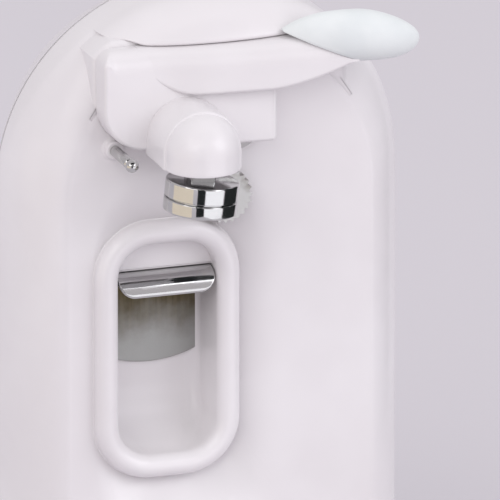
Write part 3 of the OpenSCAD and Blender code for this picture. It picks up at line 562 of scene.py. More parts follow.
def filleted(corners: Sequence[tuple[float, float, float]], step: float = 1.2) -> np.ndarray:
    """A closed outline with a round at each corner.

    A corner's round runs between the two tangent points that lie
    radius * tan(turn / 2) before and after it.

    Args:
        corners: (x, z, radius) of each corner, counterclockwise.
        step: Spacing of points on the straights.

    Returns:
        Outline of shape (points, 2), without the closing point.
    """
    tips = np.array([corner[:2] for corner in corners])
    runs = []
    for tip, before, after, radius in zip(tips, np.roll(tips, 1, 0), np.roll(tips, -1, 0),
                                          [corner[2] for corner in corners]):
        come, leave = ((tip - before) / np.linalg.norm(tip - before),
                       (after - tip) / np.linalg.norm(after - tip))
        turn = np.arctan2(come[0] * leave[1] - come[1] * leave[0], come @ leave)
        back = abs(radius * np.tan(turn / 2))
        side = np.sign(turn) * np.array([-come[1], come[0]])
        angles = np.linspace(0.0, abs(turn), max(3, int(abs(turn) * (4 + radius) / 1.2)) + 1)
        centre = tip - back * come + radius * side
        runs.append(centre + radius * (np.sin(angles)[:, None] * come
                                       - np.cos(angles)[:, None] * side))
    outline = []
    for run, following in zip(runs, runs[1:] + runs[:1]):
        gap = np.linalg.norm(following[0] - run[-1])
        share = np.linspace(0.0, 1.0, max(1, int(gap / step)) + 1)[1:-1, None]
        outline += [run, run[-1] + share * (following[0] - run[-1])]
    return np.concatenate(outline)


def rounded_box(left: float, right: float, low: float, top: float, radii: Any,
                step: float = 1.2) -> np.ndarray:
    """A filleted rectangle with one radius, or four that start at the low left corner."""
    return filleted(list(zip((left, right, right, left), (low, low, top, top),
                             np.broadcast_to(radii, 4))), step)


def arc(x: float, y: float, radius: float, start: float) -> list[tuple[float, float]]:
    """A quarter round (x + radius cos t, y + radius sin t) from t = start, in degrees."""
    t = np.radians(start) + quarter(5)
    return list(zip(x + radius * np.cos(t), y + radius * np.sin(t)))


def arched(r: np.ndarray, reach: np.ndarray, z: np.ndarray, turn: np.ndarray,
           spring: float) -> np.ndarray:
    """Carries a section up the left side, over an arch and down the right.

    A side point is (-r, reach, z) or its mirror image, and an arch point is
    (r cos t, reach, spring + r sin t).

    Args:
        r: Distance of each point of the section from the axis.
        reach: Its reach, one row or a row for each step along the way.
        z: Heights up a side.
        turn: Angles t over the arch.
        spring: Height of the arch's centre.

    Returns:
        Grid of (along, section).
    """
    up, over = len(z), len(turn)
    reach = np.broadcast_to(reach, (2 * up + over, len(r)))
    left = at(-r, reach[:up], z[:, None])
    arch = at(r * np.cos(turn)[:, None], reach[up:up + over],
              spring + r * np.sin(turn)[:, None])
    return np.concatenate([left, arch, left[::-1] * [-1, 1, 1]])


def foot_rim(girdle: np.ndarray, sides: int, foot: float,
             edge: float) -> tuple[np.ndarray, np.ndarray]:
    """The rounded edge round the foot of a half case, and the foot itself.

    At angle a the girdle moves in by edge (1 - cos a) and down to foot + edge (1 - sin a).

    Args:
        girdle: Open loop of (x, reach, z) from one seam over the face to the other.
        sides: Number of its points from a seam to the flat face.
        foot: Height of the underside.
        edge: Radius of the edge.

    Returns:
        Grid of the edge and grid of the flat underside.
    """
    flat = girdle[:, [0, 1]]
    along = np.gradient(flat, axis=0)
    along[:6], along[-6:] = along[6], along[-7]
    along /= np.linalg.norm(along, axis=1, keepdims=True)
    inside = np.stack([along[:, 1], -along[:, 0]], -1)
    a = quarter(5)[:, None, None]
    moved = flat + edge * (1 - np.cos(a)) * inside
    rim = at(moved[..., 0], moved[..., 1], foot + edge * (1 - np.sin(a[..., 0])))
    front = rim[-1, sides - 1:1 - sides]
    share = np.linspace(0.0, 1.0, len(front))[:, None, None]
    under = rim[-1, :sides] * (1 - share) + rim[-1, ::-1][:sides] * share
    under[:, -1] = front
    return rim, under


def inward(outline: np.ndarray) -> np.ndarray:
    """Mitred inward directions of a closed counterclockwise outline.

    Each is (n1 + n2) / (1 + n1.n2) of the two edges' left normals, so that an offset
    keeps its distance from both edges.

    Args:
        outline: Points of shape (points, 2).

    Returns:
        Directions of the same shape.
    """
    ahead = np.roll(outline, -1, 0) - outline
    ahead /= np.linalg.norm(ahead, axis=1, keepdims=True)
    second = np.stack([-ahead[:, 1], ahead[:, 0]], -1)
    first = np.roll(second, 1, 0)
    return (first + second) / (1 + np.sum(first * second, 1, keepdims=True))


class Mould:
    """Grids of points gathered into one piece."""

    def __init__(self) -> None:
        """Starts empty."""
        self.points: list[np.ndarray] = []
        self.faces: list[list[int]] = []
        self.count = 0

    def _keep(self, points: np.ndarray) -> int:
        """Stores points.

        Args:
            points: Points of any grid.

        Returns:
            The number of the first.
        """
        start = self.count
        self.points.append(points.reshape(-1, 3))
        self.count += len(self.points[-1])
        return start

    def sheet(self, grid: np.ndarray, around: bool = False) -> "Mould":
        """Adds a grid of quads.

        Args:
            grid: Points of shape (rows, columns, 3).
            around: Whether the last column joins the first.

        Returns:
            The mould.
        """
        rows, columns = grid.shape[:2]
        number = self._keep(grid) + np.arange(rows * columns).reshape(rows, columns)
        if around:
            number = np.concatenate([number, number[:, :1]], axis=1)
        quads = np.stack([number[:-1, :-1], number[1:, :-1], number[1:, 1:], number[:-1, 1:]], -1)
        self.faces += quads.reshape(-1, 4).tolist()
        return self

    def lid(self, ring: np.ndarray) -> "Mould":
        """Closes a flat ring with one face.

        Args:
            ring: Points of shape (points, 3).

        Returns:
            The mould.
        """
        start = self._keep(ring)
        self.faces.append(list(range(start, start + len(ring))))
        return self

    def solid(self, rings: np.ndarray) -> "Mould":
        """Joins each ring to the next and closes the first and the last with a lid."""
        return self.sheet(rings, around=True).lid(rings[0]).lid(rings[-1])

    def slab(self, outline: np.ndarray, back: float, front: float, edge: float = 1.0,
             back_edge: float = 0.3) -> "Mould":
        """Adds a slab with a front view outline and round edges.

        At angle a of a rounded edge the outline moves in by edge (1 - cos a) and the
        reach is front - edge (1 - sin a).

        Args:
            outline: Closed counterclockwise outline, (x, z).
            back: Reach of the back.
            front: Reach of the front.
            edge: Radius of the front edge.
            back_edge: Radius of the back edge.

        Returns:
            The mould.
        """
        a = quarter(6)
        inset = np.concatenate([[back_edge + 0.12], back_edge * (1 - np.cos(a))[::-1],
                                edge * (1 - np.cos(a)), [edge + 0.12]])
        reach = np.concatenate([[back], back + back_edge * (1 - np.sin(a))[::-1],
                                front - edge * (1 - np.sin(a)), [front]])
        ring = outline[None] + inset[:, None, None] * inward(outline)[None]
        return self.solid(at(ring[..., 0], reach[:, None], ring[..., 1]))

    def lathe(self, profile: Sequence[tuple[float, float]], x: float, z: float,
              sides: int = 64) -> "Mould":
        """Turns a profile about an axis that runs front to back.

        A point is (x + r cos t, reach, z + r sin t).

        Args:
            profile: (radius, reach) along the surface.
            x: Axis across.
            z: Axis height.
            sides: Steps round the axis.

        Returns:
            The mould.
        """
        r, reach = np.array(profile, float).T[..., None]
        t = np.linspace(0.0, 2 * np.pi, sides, endpoint=False)
        return self.sheet(at(x + r * np.cos(t), reach, z + r * np.sin(t)), around=True)

    def rod(self, x: float, z: float, radius: float, back: float, front: float,
            sides: int = 36) -> "Mould":
        """Adds a plain cylinder that runs front to back."""
        return self.lathe([(0.0, back), (radius, back), (radius, front), (0.0, front)], x, z, sides)

    def piece(self, name: str, finish: Finish, body: Body = Body.ROOT, slot: str = "",
              replaces: Sequence[str] = (), wall: float = 0.0,
              turn: tuple[float, Vector] | None = None, fill: bool = False) -> bpy.types.Object:
        """Makes the gathered grids one dressed piece that rides on its body.

        Args:
            name: The piece's name.
            finish: Its finish.
            body: Body that it rides on.
            slot: The record's material slot; not used.
            replaces: CAD nodes that it stands for.
            wall: Thickness given inwards to an open shell that faces the front, or 0.
            turn: Angle about the front-to-back axis and the point it goes through.
            fill: Whether flat faces close what the grids leave open.

        Returns:
            The piece.
        """
        points = np.concatenate(self.points)
        places = np.stack([points[:, 0], FACE_Y / MM - points[:, 1], points[:, 2]], -1) * MM
        mesh = bpy.data.meshes.new(name)
        mesh.from_pydata(places.tolist(), [], self.faces)
        work = bmesh.new()
        work.from_mesh(mesh)
        bmesh.ops.remove_doubles(work, verts=work.verts, dist=MERGE)
        bmesh.ops.dissolve_degenerate(work, edges=work.edges, dist=SLIVER)
        if fill:
            bmesh.ops.holes_fill(work, edges=[e for e in work.edges if e.is_boundary], sides=0)
        bmesh.ops.recalc_face_normals(work, faces=work.faces)
        away = (-sum(f.calc_area() * f.normal.y for f in work.faces) if wall
                else work.calc_volume(signed=True))
        if away < 0:
            bmesh.ops.reverse_faces(work, faces=work.faces)
        work.to_mesh(mesh)
        work.free()
        mesh.set_sharp_from_angle(angle=SHARP)
        made = bpy.data.objects.new(name, mesh)
        bpy.context.scene.collection.objects.link(made)
        if turn:
            swing(mesh, *turn)
        mesh.materials.append(finish.material())
        if wall:
            shell = made.modifiers.new("wall", "SOLIDIFY")
            shell.thickness, shell.offset = wall * MM, -1.0
        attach(made, body.value)
        if replaces:
            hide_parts(*replaces)
        LOG.info("%s: %d faces on %s", name, len(mesh.polygons), body.value)
        return made


def swing(mesh: bpy.types.Mesh, angle: float, centre: Vector) -> None:
    """Turns a mesh about the front-to-back axis through a centre.

    Args:
        mesh: The mesh.
        angle: Angle from x towards -z, in radians.
        centre: A point on the axis, in metres.
    """
    spin = np.array([[np.cos(angle), np.sin(angle)], [-np.sin(angle), np.cos(angle)]])
    middle = [centre.x, centre.z]
    flat = np.empty(len(mesh.vertices) * 3)
    mesh.vertices.foreach_get("co", flat)
    flat = flat.reshape(-1, 3)
    flat[:, [0, 2]] = (flat[:, [0, 2]] - middle) @ spin.T + middle
    mesh.vertices.foreach_set("co", flat.ravel())


def carve(body: bpy.types.Object, tool: bpy.types.Object) -> bpy.types.Object:
    """Takes a closed tool out of a closed piece and clears the tool away.

    Args:
        body: The piece that is cut.
        tool: The shape that is removed from it.

    Returns:
        The cut piece.
    """
    cut = body.modifiers.new("cut", "BOOLEAN")
    cut.operation, cut.object, cut.solver = "DIFFERENCE", tool, "EXACT"
    settled = bpy.data.meshes.new_from_object(
        body.evaluated_get(bpy.context.evaluated_depsgraph_get()))
    body.modifiers.clear()
    body.data = settled
    bpy.data.objects.remove(tool)
    settled.set_sharp_from_angle(angle=SHARP)
    return body


def extent(node: str) -> tuple[np.ndarray, np.ndarray]:
    """Measures a CAD node.

    Args:
        node: The node's name.

    Returns:
        Its lowest and highest (x, reach, z), in millimetres.
    """
    low, high = (np.array(corner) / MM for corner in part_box(node))
    face = FACE_Y / MM
    return (np.array([low[0], face - high[1], low[2]]), np.array([high[0], face - low[1], high[2]]))


# ---------- Housing ----------

WHITE = MouldedPlastic("white gloss moulding")


@dataclass
class Housing:
    """Front shell with a soft shoulder, the raised tower, the brow and the guide pin's boss."""

    face_half: float = 50.5
    shoulder: float = 15.5
    slope: tuple[float, float] = (26.0, 16.5)
    fullness: float = 1.62
    seam: float = -28.0
    foot_edge: float = 1.0
    wall: float = 2.4
    tower_half: float = 42.5
    tower_edge: float = 2.6
    brow_height: float = 216.5
    brow_lip: float = 1.3
    brow_reach: float = 10.0
    brow_edge: float = 22.0
    half: float = field(init=False)
    spring: float = field(init=False)
    foot: float = field(init=False)

    def __post_init__(self) -> None:
        """Takes the outer sizes from the CAD housing."""
        low, high = extent("front_housing")
        self.half, self.foot = float(high[0]), float(low[2])
        self.spring = float(high[2]) - self.half

    def band(self) -> np.ndarray:
        """The shoulder's section carried up the left side, over the arch and down the right.

        The shoulder is ((r - face) / s)^n + ((reach + d) / d)^n = 1, with n the fullness,
        taken at even angles a as r = face + s cos(a)^(2/n), reach = -d + d sin(a)^(2/n).
        Its depth d eases from slope[0] on the straight sides to slope[1] over the arch.

        Returns:
            Grid of (along, section).
        """
        a, tuck, power = quarter(26), quarter(4), 2 / self.fullness
        r = np.concatenate([self.half - 0.5 * (1 - np.sin(tuck)),
                            self.face_half + self.shoulder * np.abs(np.cos(a)) ** power])
        r[-1] = self.face_half
        z = spread(self.foot + self.foot_edge, self.spring, 26)
        turn = np.linspace(np.pi, 0.0, 97)[1:-1]
        rise = np.concatenate([0 * z, np.sin(turn), 0 * z])[:, None]
        depth = self.slope[0] + (self.slope[1] - self.slope[0]) * ease(rise, 0.0, 0.75)
        lead = np.broadcast_to(self.seam + 0.5 * (1 - np.cos(tuck)), (len(rise), len(tuck)))
        reach = np.concatenate([lead, depth * (np.sin(a) ** power - 1)], 1)
        return arched(r, reach, z, turn, self.spring)

    def face(self, edge: np.ndarray, opening: np.ndarray) -> np.ndarray:
        """The flat face between its edge and the recess opening.

        Each outer point is joined to the opening's point at the same angle about its middle.

        Args:
            edge: Closed outer loop, (points, 3).
            opening: Closed outline of the opening, (points, 2).

        Returns:
            Grid of (across, around).
        """
        middle = (opening.min(0) + opening.max(0)) / 2
        seen = np.arctan2(*(opening - middle).T[::-1])
        order = np.argsort(seen)
        bearing = np.arctan2(edge[:, 2] - middle[1], edge[:, 0] - middle[0])
        inner = np.stack([np.interp(bearing, seen[order], opening[order, axis], period=2 * np.pi)
                          for axis in (0, 1)], -1)
        share = np.array([0.0, 0.015, 0.3, 0.6, 1.0])[:, None]
        return at(edge[:, 0] * (1 - share) + inner[:, 0] * share, 0.0,
                  edge[:, 2] * (1 - share) + inner[:, 1] * share)

    def shell(self, opening: np.ndarray) -> None:
        """The front shell.

        Args:
            opening: Closed outline of the recess's opening, (points, 2).
        """
        band = self.band()
        bottom = at(np.linspace(-self.face_half, self.face_half, 31), 0.0,
                    self.foot + self.foot_edge)[1:-1]
        girdle = np.concatenate([band[0], bottom, band[-1][::-1]])
        edge, underside = foot_rim(girdle, len(band[0]), self.foot, self.foot_edge)
        loop = np.concatenate([band[:, -1], bottom[::-1]])
        (Mould().sheet(band).sheet(self.face(loop, opening), around=True)
         .sheet(edge).sheet(underside)
         .piece("front_shell", WHITE, slot="white_plastic", replaces=["front_housing"],
                wall=self.wall))

    def tower(self) -> None:
        """The flat-fronted block behind the lever, bounded by two sides and two arcs."""
        outer, inner = self.half - 0.6, self.face_half - 0.2
        side, top = self.tower_half, self.brow_height + 0.05
        low = np.arcsin(side / inner)
        t = np.linspace(-low, low, 61)
        arc = np.stack([inner * np.sin(t), self.spring + inner * np.cos(t)], -1)
        lean = np.sqrt(outer ** 2 - (top - self.spring) ** 2)
        t = np.linspace(np.arccos(side / outer), np.arctan2(top - self.spring, lean), 12)
        rim = np.stack([outer * np.cos(t), self.spring + outer * np.sin(t)], -1)
        outline = np.concatenate([arc, rim, rim[::-1] * [-1, 1]])
        (Mould().slab(outline, -self.slope[1] - 4, -0.02, self.tower_edge)
         .piece("tower", WHITE, slot="white_plastic"))

    def brow(self) -> None:
        """The domed brow over the lever.

        The dome's reach is reach - R + sqrt(R^2 - (r - (half - R))^2), R its edge radius, and
        falls by e - sqrt(e^2 - (e - h)^2) within e of its underside, h the height above that.
        The underside is lower by the lip, except at its left end, where the lever swings up.
        """
        tall = self.brow_height - self.spring
        turn = spread(np.pi - np.arcsin(tall / self.half),
                      np.arcsin((tall - self.brow_lip) / self.half), 81, 0.6)[:, None]
        height = tall - self.brow_lip * ease(tall / np.tan(turn), -32.5, -26.0)
        low = height / np.sin(turn)
        share = spread(0.0, 1.0, 41, 0.8)[None] ** 1.4
        r = low + (self.half - low) * share
        dome = (self.brow_reach - self.brow_edge + np.sqrt(np.maximum(
            self.brow_edge ** 2 - (r - self.half + self.brow_edge) ** 2, 0)))
        e = np.minimum(1.6, 0.35 * (self.half - low)) + 1e-6
        h = np.clip(e - (r * np.sin(turn) - height), 0, e)
        dome = dome - (e - np.sqrt(e ** 2 - h ** 2))
        side = np.linspace(self.brow_reach - self.brow_edge, -self.slope[1], 6)[1:]
        r = np.concatenate([low, r, np.full((len(turn), 5), self.half)], 1)
        reach = np.concatenate([np.full((len(turn), 1), -self.slope[1]), dome,
                                np.repeat(side[None], len(turn), 0)], 1)
        grid = at(r * np.cos(turn), reach, self.spring + r * np.sin(turn))
        Mould().sheet(grid, around=True).piece("brow", WHITE, slot="white_plastic")

    def guide_boss(self) -> None:
        """The short collar that the can guide pin stands in."""
        low, high = extent("can_guide_pin")
        x, z = (low[0] + high[0]) / 2, (low[2] + high[2]) / 2
        profile = [(0.0, -2.0), (4.4, -2.0), (4.4, -0.3), (4.0, -0.02), (3.4, 0.15), (3.0, 0.45),
                   *arc(2.45, 2.0, 0.5, 0.0), *arc(1.95, 2.25, 0.25, 90.0), (1.7, 0.4), (0.0, 0.4)]
        Mould().lathe(profile, x, z, 48).piece("guide_boss", WHITE, slot="white_plastic")


@dataclass
class RearCover:
    """The rear cover, whose sides and top lean in towards a flat, vented back."""

    lean: float = np.radians(22.0)
    edge: float = 20.0
    wall: float = 2.6
    foot_edge: float = 1.0
    screws: tuple[tuple[float, float], ...] = (
        (51.0, 30.0), (-51.0, 30.0), (51.0, 150.0), (-51.0, 150.0), (8.0, 208.0))
    post: float = 4.2
    bore: float = 3.0
    seat: float = -40.0
    brim: float = 0.4
    inlet: float = 6.1
    through: float = 1.0
    vents: int = 9
    vent: tuple[float, float, float, float] = (46.0, 2.4, 6.0, 72.0)
    seam: float = field(init=False)
    back: float = field(init=False)
    half: float = field(init=False)
    foot: float = field(init=False)
    spring: float = field(init=False)

    def __post_init__(self) -> None:
        """Takes the outer sizes from the CAD cover and housing."""
        low, high = extent("rear_cover")
        self.back, self.half, self.foot = float(low[1]), float(high[0]), float(low[2])
        self.spring = float(high[2]) - self.half
        self.seam = float(extent("front_housing")[0][1]) - 0.5

    def section(self, inset: float) -> np.ndarray:
        """Radius and reach from the seam, down the leaning side and round the back edge.

        The side is r = half - inset / cos(lean) - y tan(lean) at depth y behind the seam, and
        the edge is a circle of radius edge - inset that touches it and the back.

        Args:
            inset: Distance inside the outer skin.

        Returns:
            Points of shape (points, 2).
        """
        y = self.seam - self.back - self.edge
        x = self.half - y * np.tan(self.lean) - self.edge / np.cos(self.lean)
        a = np.linspace(self.lean, np.pi / 2, 22)
        bend = self.edge - inset
        arc = np.stack([x + bend * np.cos(a), y + bend * np.sin(a)], -1)
        start = np.array([self.half - inset / np.cos(self.lean), 0.0])
        if inset:
            start += [np.tan(self.lean) * self.brim, -self.brim]
        share = np.linspace(0.0, 1.0, 7)[:-1, None]
        line = np.concatenate([start * (1 - share) + arc[0] * share, arc])
        return np.stack([line[:, 0], self.seam - line[:, 1]], -1)

    def form(self, name: str, inset: float, **how: Any) -> bpy.types.Object:
        """The closed form at an inset: the section carried up one side, over and down.

        Args:
            name: The piece's name.
            inset: Distance inside the outer skin.
            how: Further settings of the piece.

        Returns:
            The form.
        """
        r, reach = self.section(inset).T
        edge = self.foot_edge if not inset else self.brim
        low = self.foot + inset
        z = spread(low + edge, self.spring, 24)
        turn = np.linspace(np.pi, 0.0, 85)[1:-1]
        band = arched(r, reach, z, turn, self.spring)
        across = at(np.linspace(r[-1], -r[-1], 9), reach[-1], low + edge)
        girdle = np.concatenate([band[-1], across[1:-1], band[0][::-1]])
        rounded, underside = foot_rim(girdle, len(r), low, edge)
        return (Mould().sheet(band).sheet(rounded).sheet(underside)
                .piece(name, WHITE, fill=True, **how))

    def openings(self) -> bpy.types.Object:
        """Air slots with round ends, the inlet's hole and the bores down to the screw heads.

        Returns:
            The openings as one closed tool.
        """
        long, wide, pitch, low = self.vent
        out, inside = self.back - self.through, self.back + self.wall + self.through
        mould = Mould()
        for number in range(self.vents):
            z, r = low + number * pitch, wide / 2
            slot = rounded_box(-long / 2, long / 2, z - r, z + r, r - 0.01, 0.5)
            mould.slab(slot, out, inside, 0.01, 0.01)
        box = extent("cord_inlet_bushing")
        mould.rod(0.0, (box[0][2] + box[1][2]) / 2, self.inlet, out, inside, 48)
        for x, z in self.screws:
            mould.rod(x, z, self.bore, out, self.seat)
        return mould.piece("rear_openings", WHITE)

    def cover(self) -> None:
        """The outer form less its hollow, which stops short of the screw posts, and openings."""
        whole = self.form("rear_cover_shell", 0.0, slot="white_plastic", replaces=["rear_cover"])
        hollow = self.form("rear_hollow", self.wall)
        posts = Mould()
        for x, z in self.screws:
            posts.rod(x, z, self.post, self.back - self.through, self.seam + self.through)
        hollow = carve(hollow, posts.piece("rear_posts", WHITE))
        carve(carve(whole, hollow), self.openings())


# ---------- Bottle opener ----------

CHROME = Chrome("bright plating")


@dataclass
class BottleOpener:
    """The recess with its rolled rim, the frosted plate and the plated lip."""

    ring: float = 8.0
    crest: float = 5.0
    corner: float = 11.0
    depth: float = 18.0
    fillet: float = 4.0
    gap: float = 0.3
    lip_half: float = 16.2
    lip_thick: float = 1.6
    curl: float = 6.2
    shelf_drop: float = 7.7
    cut_drop: float = 1.3
    cut_round: float = 5.5
    ledge_front: float = 3.2
    cup_wall: float = 1.6
    x: float = field(init=False)
    half: float = field(init=False)
    low: float = field(init=False)
    top: float = field(init=False)
    shelf: float = field(init=False)

    def __post_init__(self) -> None:
        """Takes the recess's edges from the CAD cup, whose box is the rim's."""
        low, high = extent("recess_cup")
        self.x = (low[0] + high[0]) / 2
        self.half = (high[0] - low[0]) / 2 - self.ring
        self.low, self.top = low[2] + self.ring, high[2] - self.ring
        self.shelf = float(extent("opener_lip")[1][2]) - self.shelf_drop + self.lip_thick / 2

    def outline(self, grow: float = 0.0) -> np.ndarray:
        """The recess's rounded rectangle, grown outwards."""
        return rounded_box(self.x - self.half - grow, self.x + self.half + grow,
                           self.low - grow, self.top + grow, self.corner + grow)

    def floor(self, z: np.ndarray) -> np.ndarray:
        """Reach of the floor: -depth, or -sqrt(depth^2 - (bend - z)^2) under the bend."""
        bend = self.low + self.depth
        return -np.sqrt(np.maximum(self.depth ** 2 - np.maximum(bend - z, 0.0) ** 2, 0.0))

    def cup(self) -> None:
        """The rim, the wall, the fillet and the scooped floor in one surface.

        Outside, the rim is a half round of the ring's width on a small flare. Inside, a point
        at distance d from the edge lies at floor(z) + f - sqrt(f^2 - (f - d)^2), f the fillet.
        """
        edge = self.outline()
        inside = inward(edge)
        radius = self.ring / 2
        a = np.linspace(0.0, np.pi, 25)
        foot = quarter(4)
        out = np.concatenate([self.ring - 0.4 * np.sin(foot), (radius - 0.2) * (1 + np.cos(a))])
        high = np.concatenate([0.4 - 0.4 * np.cos(foot), self.crest - radius + radius * np.sin(a)])
        rim = edge[None] - out[:, None, None] * inside
        rows = [at(rim[..., 0], high[:, None], rim[..., 1])]
        f = np.minimum(self.fillet, -0.5 * self.floor(edge[:, 1]))
        share = np.linspace(0.0, 1.0, 8)[1:-1, None]
        start = self.floor(edge[:, 1]) + f
        rows.append(at(edge[:, 0], (self.crest - radius) * (1 - share) + start * share, edge[:, 1]))
        d = f * (1 - np.cos(quarter(8)))[:, None]
        spot = edge[None] + d[..., None] * inside
        reach = self.floor(spot[..., 1]) + f - np.sqrt(np.maximum(f ** 2 - (f - d) ** 2, 0.0))
        rows.append(at(spot[..., 0], reach, spot[..., 1]))
        middle = np.array([self.x, (self.low + self.top) / 2])
        share = (np.linspace(0.0, 1.0, 34)[1:, None, None]) ** 1.7
        spot = spot[-1] * (1 - share) + middle * share
        rows.append(at(spot[..., 0], self.floor(spot[..., 1]), spot[..., 1]))
        (Mould().sheet(np.concatenate(rows), around=True)
         .piece("recess_cup_moulding", WHITE, slot="white_plastic", replaces=["recess_cup"],
                wall=self.cup_wall))

    def ledge(self) -> None:
        """The moulded ledge over the lip; its sides and top are let into the cup's wall."""
        low = self.shelf + self.lip_thick / 2 + 0.15
        edge = self.outline(0.9)
        top = edge[edge[:, 1] > low + 0.5]
        foot = [(top[-1, 0], low), (self.x, low), (top[0, 0], low)]
        outline = np.concatenate([top, foot])
        back = float(extent("opener_rivets")[1][1]) + 0.1
        (Mould().slab(outline, back, -self.ledge_front, 0.7)
         .piece("recess_ledge", WHITE, slot="white_plastic"))

    def plate(self) -> None:
        """The frosted back plate with a gently bowed lower edge."""
        low, high = extent("opener_plate")
        r = self.corner - self.gap
        bow = 40.0
        across = np.linspace(self.x - self.lip_half, self.x + self.lip_half, 31)
        foot = np.stack([across, low[2] + bow - np.sqrt(bow ** 2 - (across - self.x) ** 2)], -1)
        t = np.linspace(0.0, np.arcsin((high[2] - self.top + self.corner) / r), 9)
        shoulder = np.stack([self.half - self.corner + r * np.cos(t),
                             self.top - self.corner + r * np.sin(t)], -1)
        outline = np.concatenate([foot, shoulder + [self.x, 0],
                                  shoulder[::-1] * [-1, 1] + [self.x, 0]])
        # the finish paints a warm dark reflection over the plate's upper part, between its low and
        # high
        finish = FrostedPlate("blasted opener plate", low=low[2] * MM, high=high[2] * MM)
        (Mould().slab(outline, low[1], high[1], 0.35)
         .piece("opener_back_plate", finish, slot="frosted_steel", replaces=["opener_plate"]))

    def lip(self) -> None:
        """The flange, the shelf and the curled lip, as a strip bent along its length.

        The strip's middle line runs down the flange, round a small bend, along the shelf and
        round the curl to angle b(x), where sin b = (cut(x) - centre) / curl rounds the corners.
        """
        low, high = extent("opener_lip")
        half = self.lip_thick / 2
        back, bend, shelf = low[1] + half, 1.4, self.shelf
        centre = (high[1] - self.curl - half, shelf - self.curl)
        w = spread(-self.lip_half, self.lip_half, 65, 0.85)[:, None]
        side = np.abs(w)
        top = np.minimum(high[2], self.top - self.corner + np.sqrt(np.maximum(
            (self.corner - self.gap) ** 2 - np.maximum(side - self.half + self.corner, 0) ** 2, 0)))
        r = self.cut_round
        cut = low[2] - self.cut_drop + half + r - np.sqrt(np.maximum(
            r ** 2 - np.maximum(side - self.lip_half + r, 0) ** 2, 0))
        end = np.arcsin(np.clip((cut - centre[1]) / self.curl, -1, 1))
        t = np.linspace(0.0, 1.0, 5)[None]
        flange = (np.full_like(w * t, back), top + (shelf + bend - top) * t)
        a = quarter(6)[None]
        knee = (back + bend * (1 - np.cos(a)) + 0 * w, shelf + bend * (1 - np.sin(a)) + 0 * w)
        b = np.pi / 2 + (end - np.pi / 2) * np.linspace(0.0, 1.0, 26)[None]
        curl = (centre[0] + self.curl * np.cos(b), centre[1] + self.curl * np.sin(b))
        line = np.stack([np.concatenate([flange[i], knee[i][:, 1:], curl[i]], 1)
                         for i in (0, 1)], -1)
        along = np.gradient(line, axis=1)
        along /= np.linalg.norm(along, axis=2, keepdims=True)
        across = np.stack([along[..., 1], -along[..., 0]], -1)
        rim = np.clip((side - self.lip_half + 0.5) / 0.5, 0, 1)
        thick = (half * np.sqrt(1 - rim ** 2 * 0.999))[..., None]
        tip = np.linspace(0.0, np.pi, 9)[None, 1:-1, None]
        cap = line[:, -1:] + thick * (-np.cos(tip) * across[:, -1:] + np.sin(tip) * along[:, -1:])
        section = np.concatenate([line - thick * across, cap, (line + thick * across)[:, ::-1]], 1)
        grid = at(self.x + w, section[..., 0], section[..., 1])
        (Mould().solid(grid)
         .piece("opener_curled_lip", Chrome("lip plating", lay=(30.0, 900.0, 2400.0)),
                slot="chrome", replaces=["opener_lip"]))


# ---------- Lever ----------


